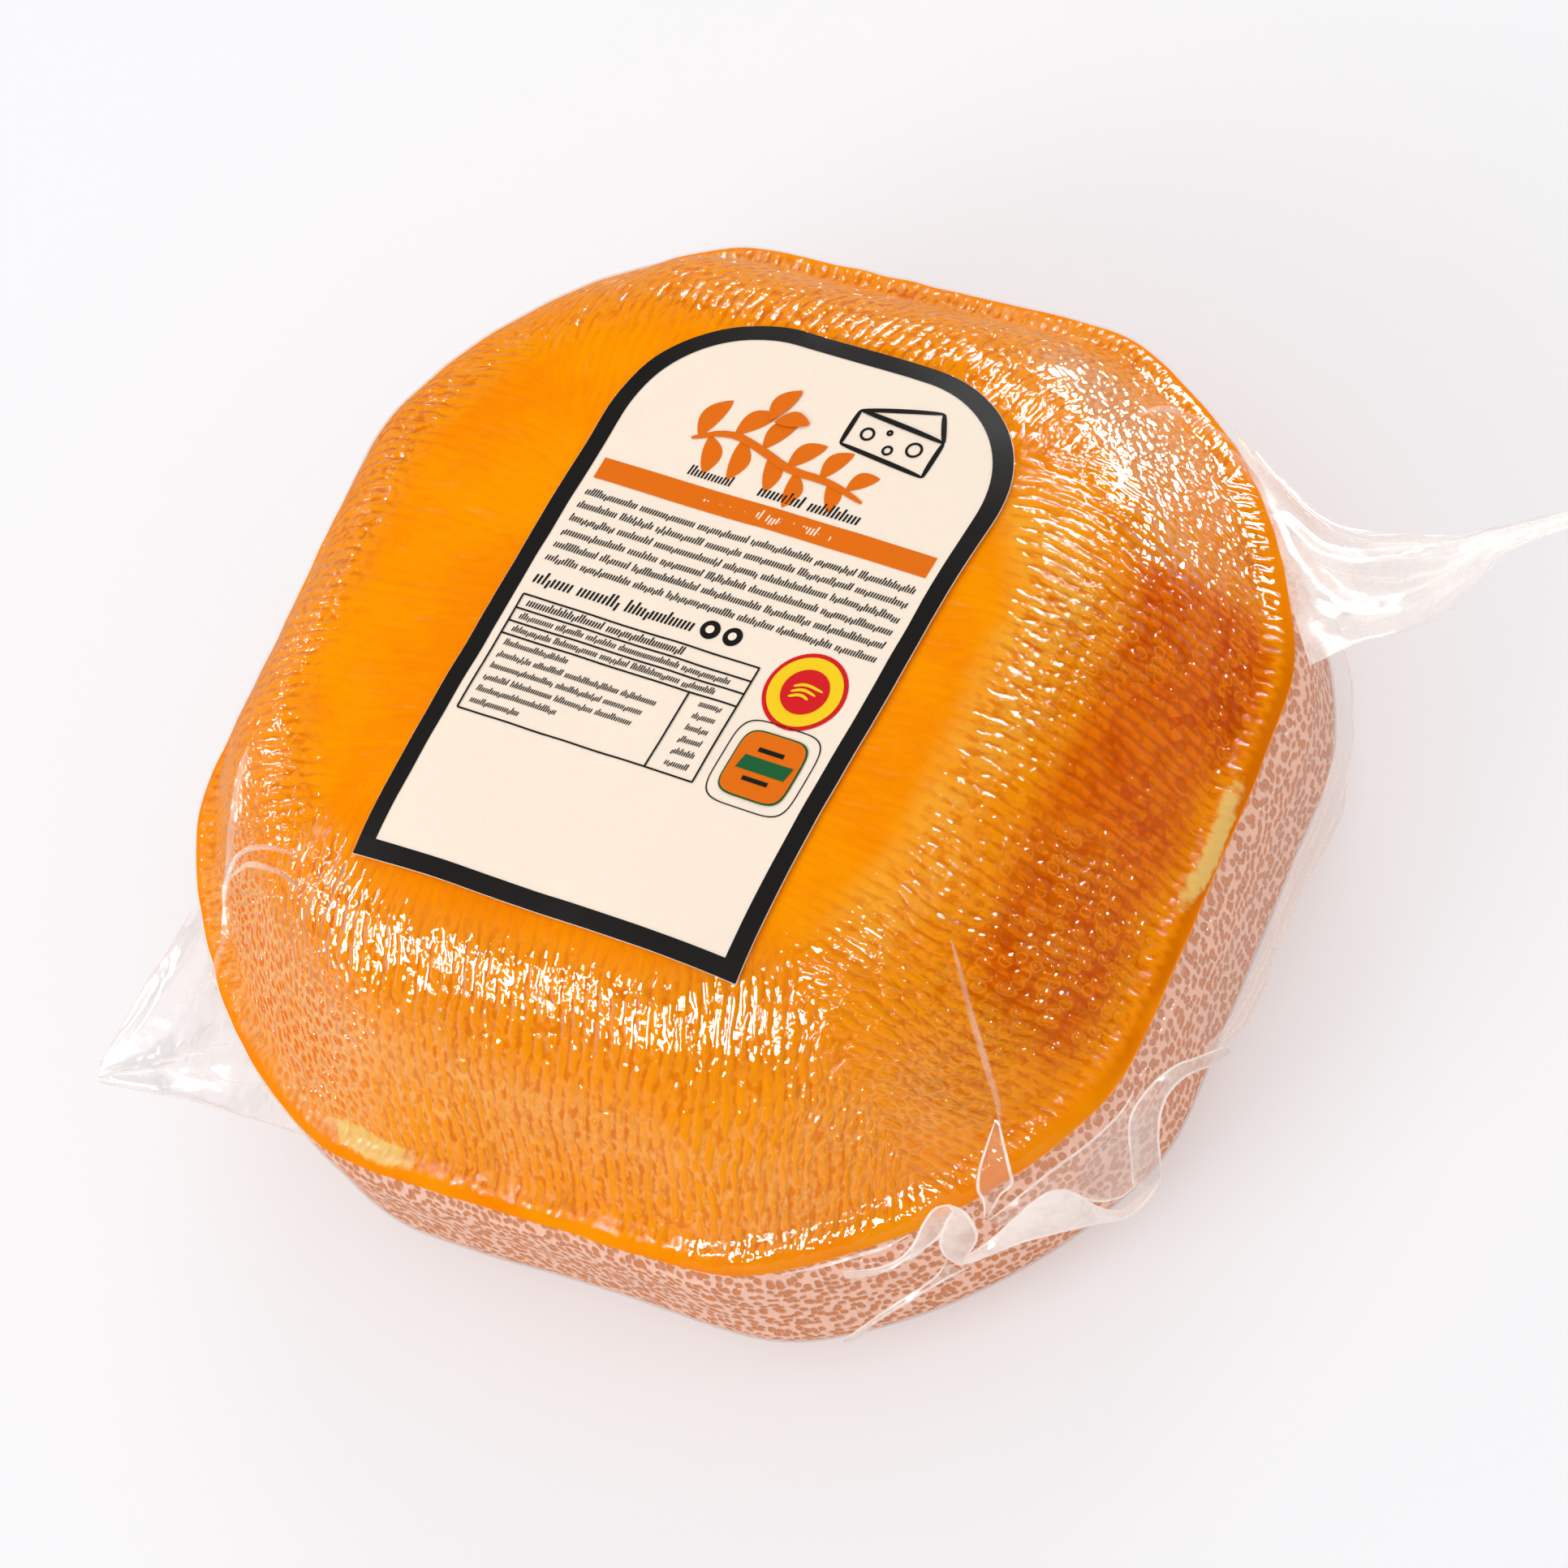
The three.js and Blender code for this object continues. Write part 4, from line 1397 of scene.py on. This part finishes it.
gridX, gridY = archGrid(0, 90, 110)
labelPoints, labelFaces = closedSheet(onLabel(gridX, gridY, 0), labelShape["thickness"])
labelSheet = buildPiece("label", labelPoints, labelFaces, [labelMaterials[0]])
printed = printLabel()
printPoints = np.concatenate(printed.points)
labelPrint = buildPiece("label_print", printPoints, printed.faces, labelMaterials, printed.shares)
for piece in (labelSheet, labelPrint):
    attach(piece, "root")
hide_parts("top_label")
print("label made")


# Floor, lights and camera

stageSetup = {
    "floorTone": colour(249, 249, 251),
    "floorShade": 0.5,  # how much darker it is in the film's reflections
    "floorGlow": 0.35,  # a light table, so its shadows stay pale
    "sky": 0.72,
    "skyShine": 0.08,  # the sky's share in reflections, as in a darkened studio
    "lamps": {  # power in watts, sizes and reach in metres
        "frontSoft": {
            "direction": (-0.43, -0.75, 0.6), "reach": 1.5,
            "size": (0.8, 0.6), "power": 5.5, "shines": False,
        },
        "backSoft": {
            "direction": (-0.2, 0.8, 0.6), "reach": 1.5,
            "size": (0.8, 0.6), "power": 4, "shines": False,
        },
        "topSoft": {
            "direction": (0.2, -0.1, 1.0), "reach": 1.9,
            "size": (1.6, 1.6), "power": 4, "shines": False,
        },
        "frontStrip": {
            "direction": (-0.42, -0.64, 0.6), "reach": 1.5,
            "size": (0.9, 0.2), "power": 120, "lights": False,
        },
        "cornerStrip": {
            "direction": (0.28, -0.6, 0.72), "reach": 1.5,
            "size": (0.4, 0.18), "power": 14, "lights": False,
        },
        "backStrip": {
            "direction": (0.1, 0.95, 0.16), "reach": 1.3,
            "size": (0.9, 0.42), "power": 126, "lights": False,
        },
        "leftStrip": {
            "direction": (-0.95, 0.05, 0.1), "reach": 1.3,
            "size": (0.4, 0.12), "power": 9, "lights": False,
        },
    },
}
cameraSetup = {
    "azimuth": 55.0,  # degrees
    "elevation": 58.04,
    "roll": 35.2,
    "target": (11.75, -4.68, 46.1),
    "distance": 1252.4,
    "lens": 167.66,
}


def makeFloor():
    mesh = bpy.data.meshes.new("floor")
    reach = 6.0
    steps = 8
    line = np.linspace(-reach, reach, steps + 1)
    points = [(x, y, 0) for x in line for y in line]
    mesh.from_pydata(points, [], gridFaces(steps + 1, steps + 1))
    mesh.update()
    pad = NodePad("floor_paper")
    pale = stageSetup["floorTone"]
    tone = pad.tint(pad.noise(pad.places(), 3, 2), pale, tuple(value * 0.99 for value in pale))
    mirrored = pad.node("LightPath").outputs["Is Glossy Ray"]  # keeps the floor's glare out of the film
    tone = pad.tint(pad.times(mirrored, stageSetup["floorShade"]), tone, (0, 0, 0, 1))
    matt = pad.node("BsdfDiffuse", {"Color": tone, "Roughness": 0.5})
    glow = pad.node("Emission", {"Color": tone, "Strength": 1.0})
    lit = pad.node("MixShader", {0: stageSetup["floorGlow"], 1: matt.outputs[0], 2: glow.outputs[0]})
    pad.put(pad.finish.inputs[0], lit.outputs[0])
    mesh.materials.append(pad.material)
    floor = bpy.data.objects.new("floor", mesh)
    bpy.context.scene.collection.objects.link(floor)


def makeLight(name, setup):
    light = bpy.data.lights.new(name, "AREA")
    light.shape = "RECTANGLE"
    light.size, light.size_y = setup["size"]
    light.energy = setup["power"]
    lamp = bpy.data.objects.new(name, light)
    bpy.context.scene.collection.objects.link(lamp)
    direction = Vector(setup["direction"]).normalized()
    lamp.location = Vector((0, 0, 0.06)) + direction * setup["reach"]
    lamp.rotation_euler = direction.to_track_quat("Z", "Y").to_euler()
    lamp.visible_glossy = setup.get("shines", True)  # a soft lamp isn't mirrored in the film
    lamp.visible_diffuse = setup.get("lights", True)  # a strip is there for its mirror image only


def makeWorld():
    world = bpy.data.worlds.new("studio")
    world.use_nodes = True
    tree = world.node_tree
    background = tree.nodes["Background"]
    background.inputs[0].default_value = (1, 1, 1, 1)
    path = tree.nodes.new("ShaderNodeLightPath")
    dim = tree.nodes.new("ShaderNodeMapRange")
    dim.inputs["To Min"].default_value = stageSetup["sky"]
    dim.inputs["To Max"].default_value = stageSetup["sky"] * stageSetup["skyShine"]
    tree.links.new(path.outputs["Is Glossy Ray"], dim.inputs["Value"])
    tree.links.new(dim.outputs[0], background.inputs[1])
    bpy.context.scene.world = world


def makeCamera():
    azimuth = math.radians(cameraSetup["azimuth"])
    elevation = math.radians(cameraSetup["elevation"])
    roll = math.radians(cameraSetup["roll"])
    level = math.cos(elevation)
    back = Vector((math.sin(azimuth) * level, -math.cos(azimuth) * level, math.sin(elevation)))
    right = Vector((0, 0, 1)).cross(back).normalized()
    upright = back.cross(right)
    over = upright * math.cos(roll) + right * math.sin(roll)
    aside = over.cross(back)
    camera = bpy.data.objects.new("camera", bpy.data.cameras.new("camera"))
    camera.data.lens = cameraSetup["lens"]
    camera.data.sensor_width = 36
    camera.data.clip_end = 20
    place = Vector(cameraSetup["target"]) * mm + back * cameraSetup["distance"] * mm
    camera.matrix_world = Matrix((aside, over, back)).transposed().to_4x4()
    camera.location = place
    bpy.context.scene.collection.objects.link(camera)
    bpy.context.scene.camera = camera


makeFloor()
for name, setup in stageSetup["lamps"].items():
    makeLight(name, setup)
makeWorld()
makeCamera()
bpy.context.scene.view_settings.view_transform = "Standard"
print("floor, lights and camera made")
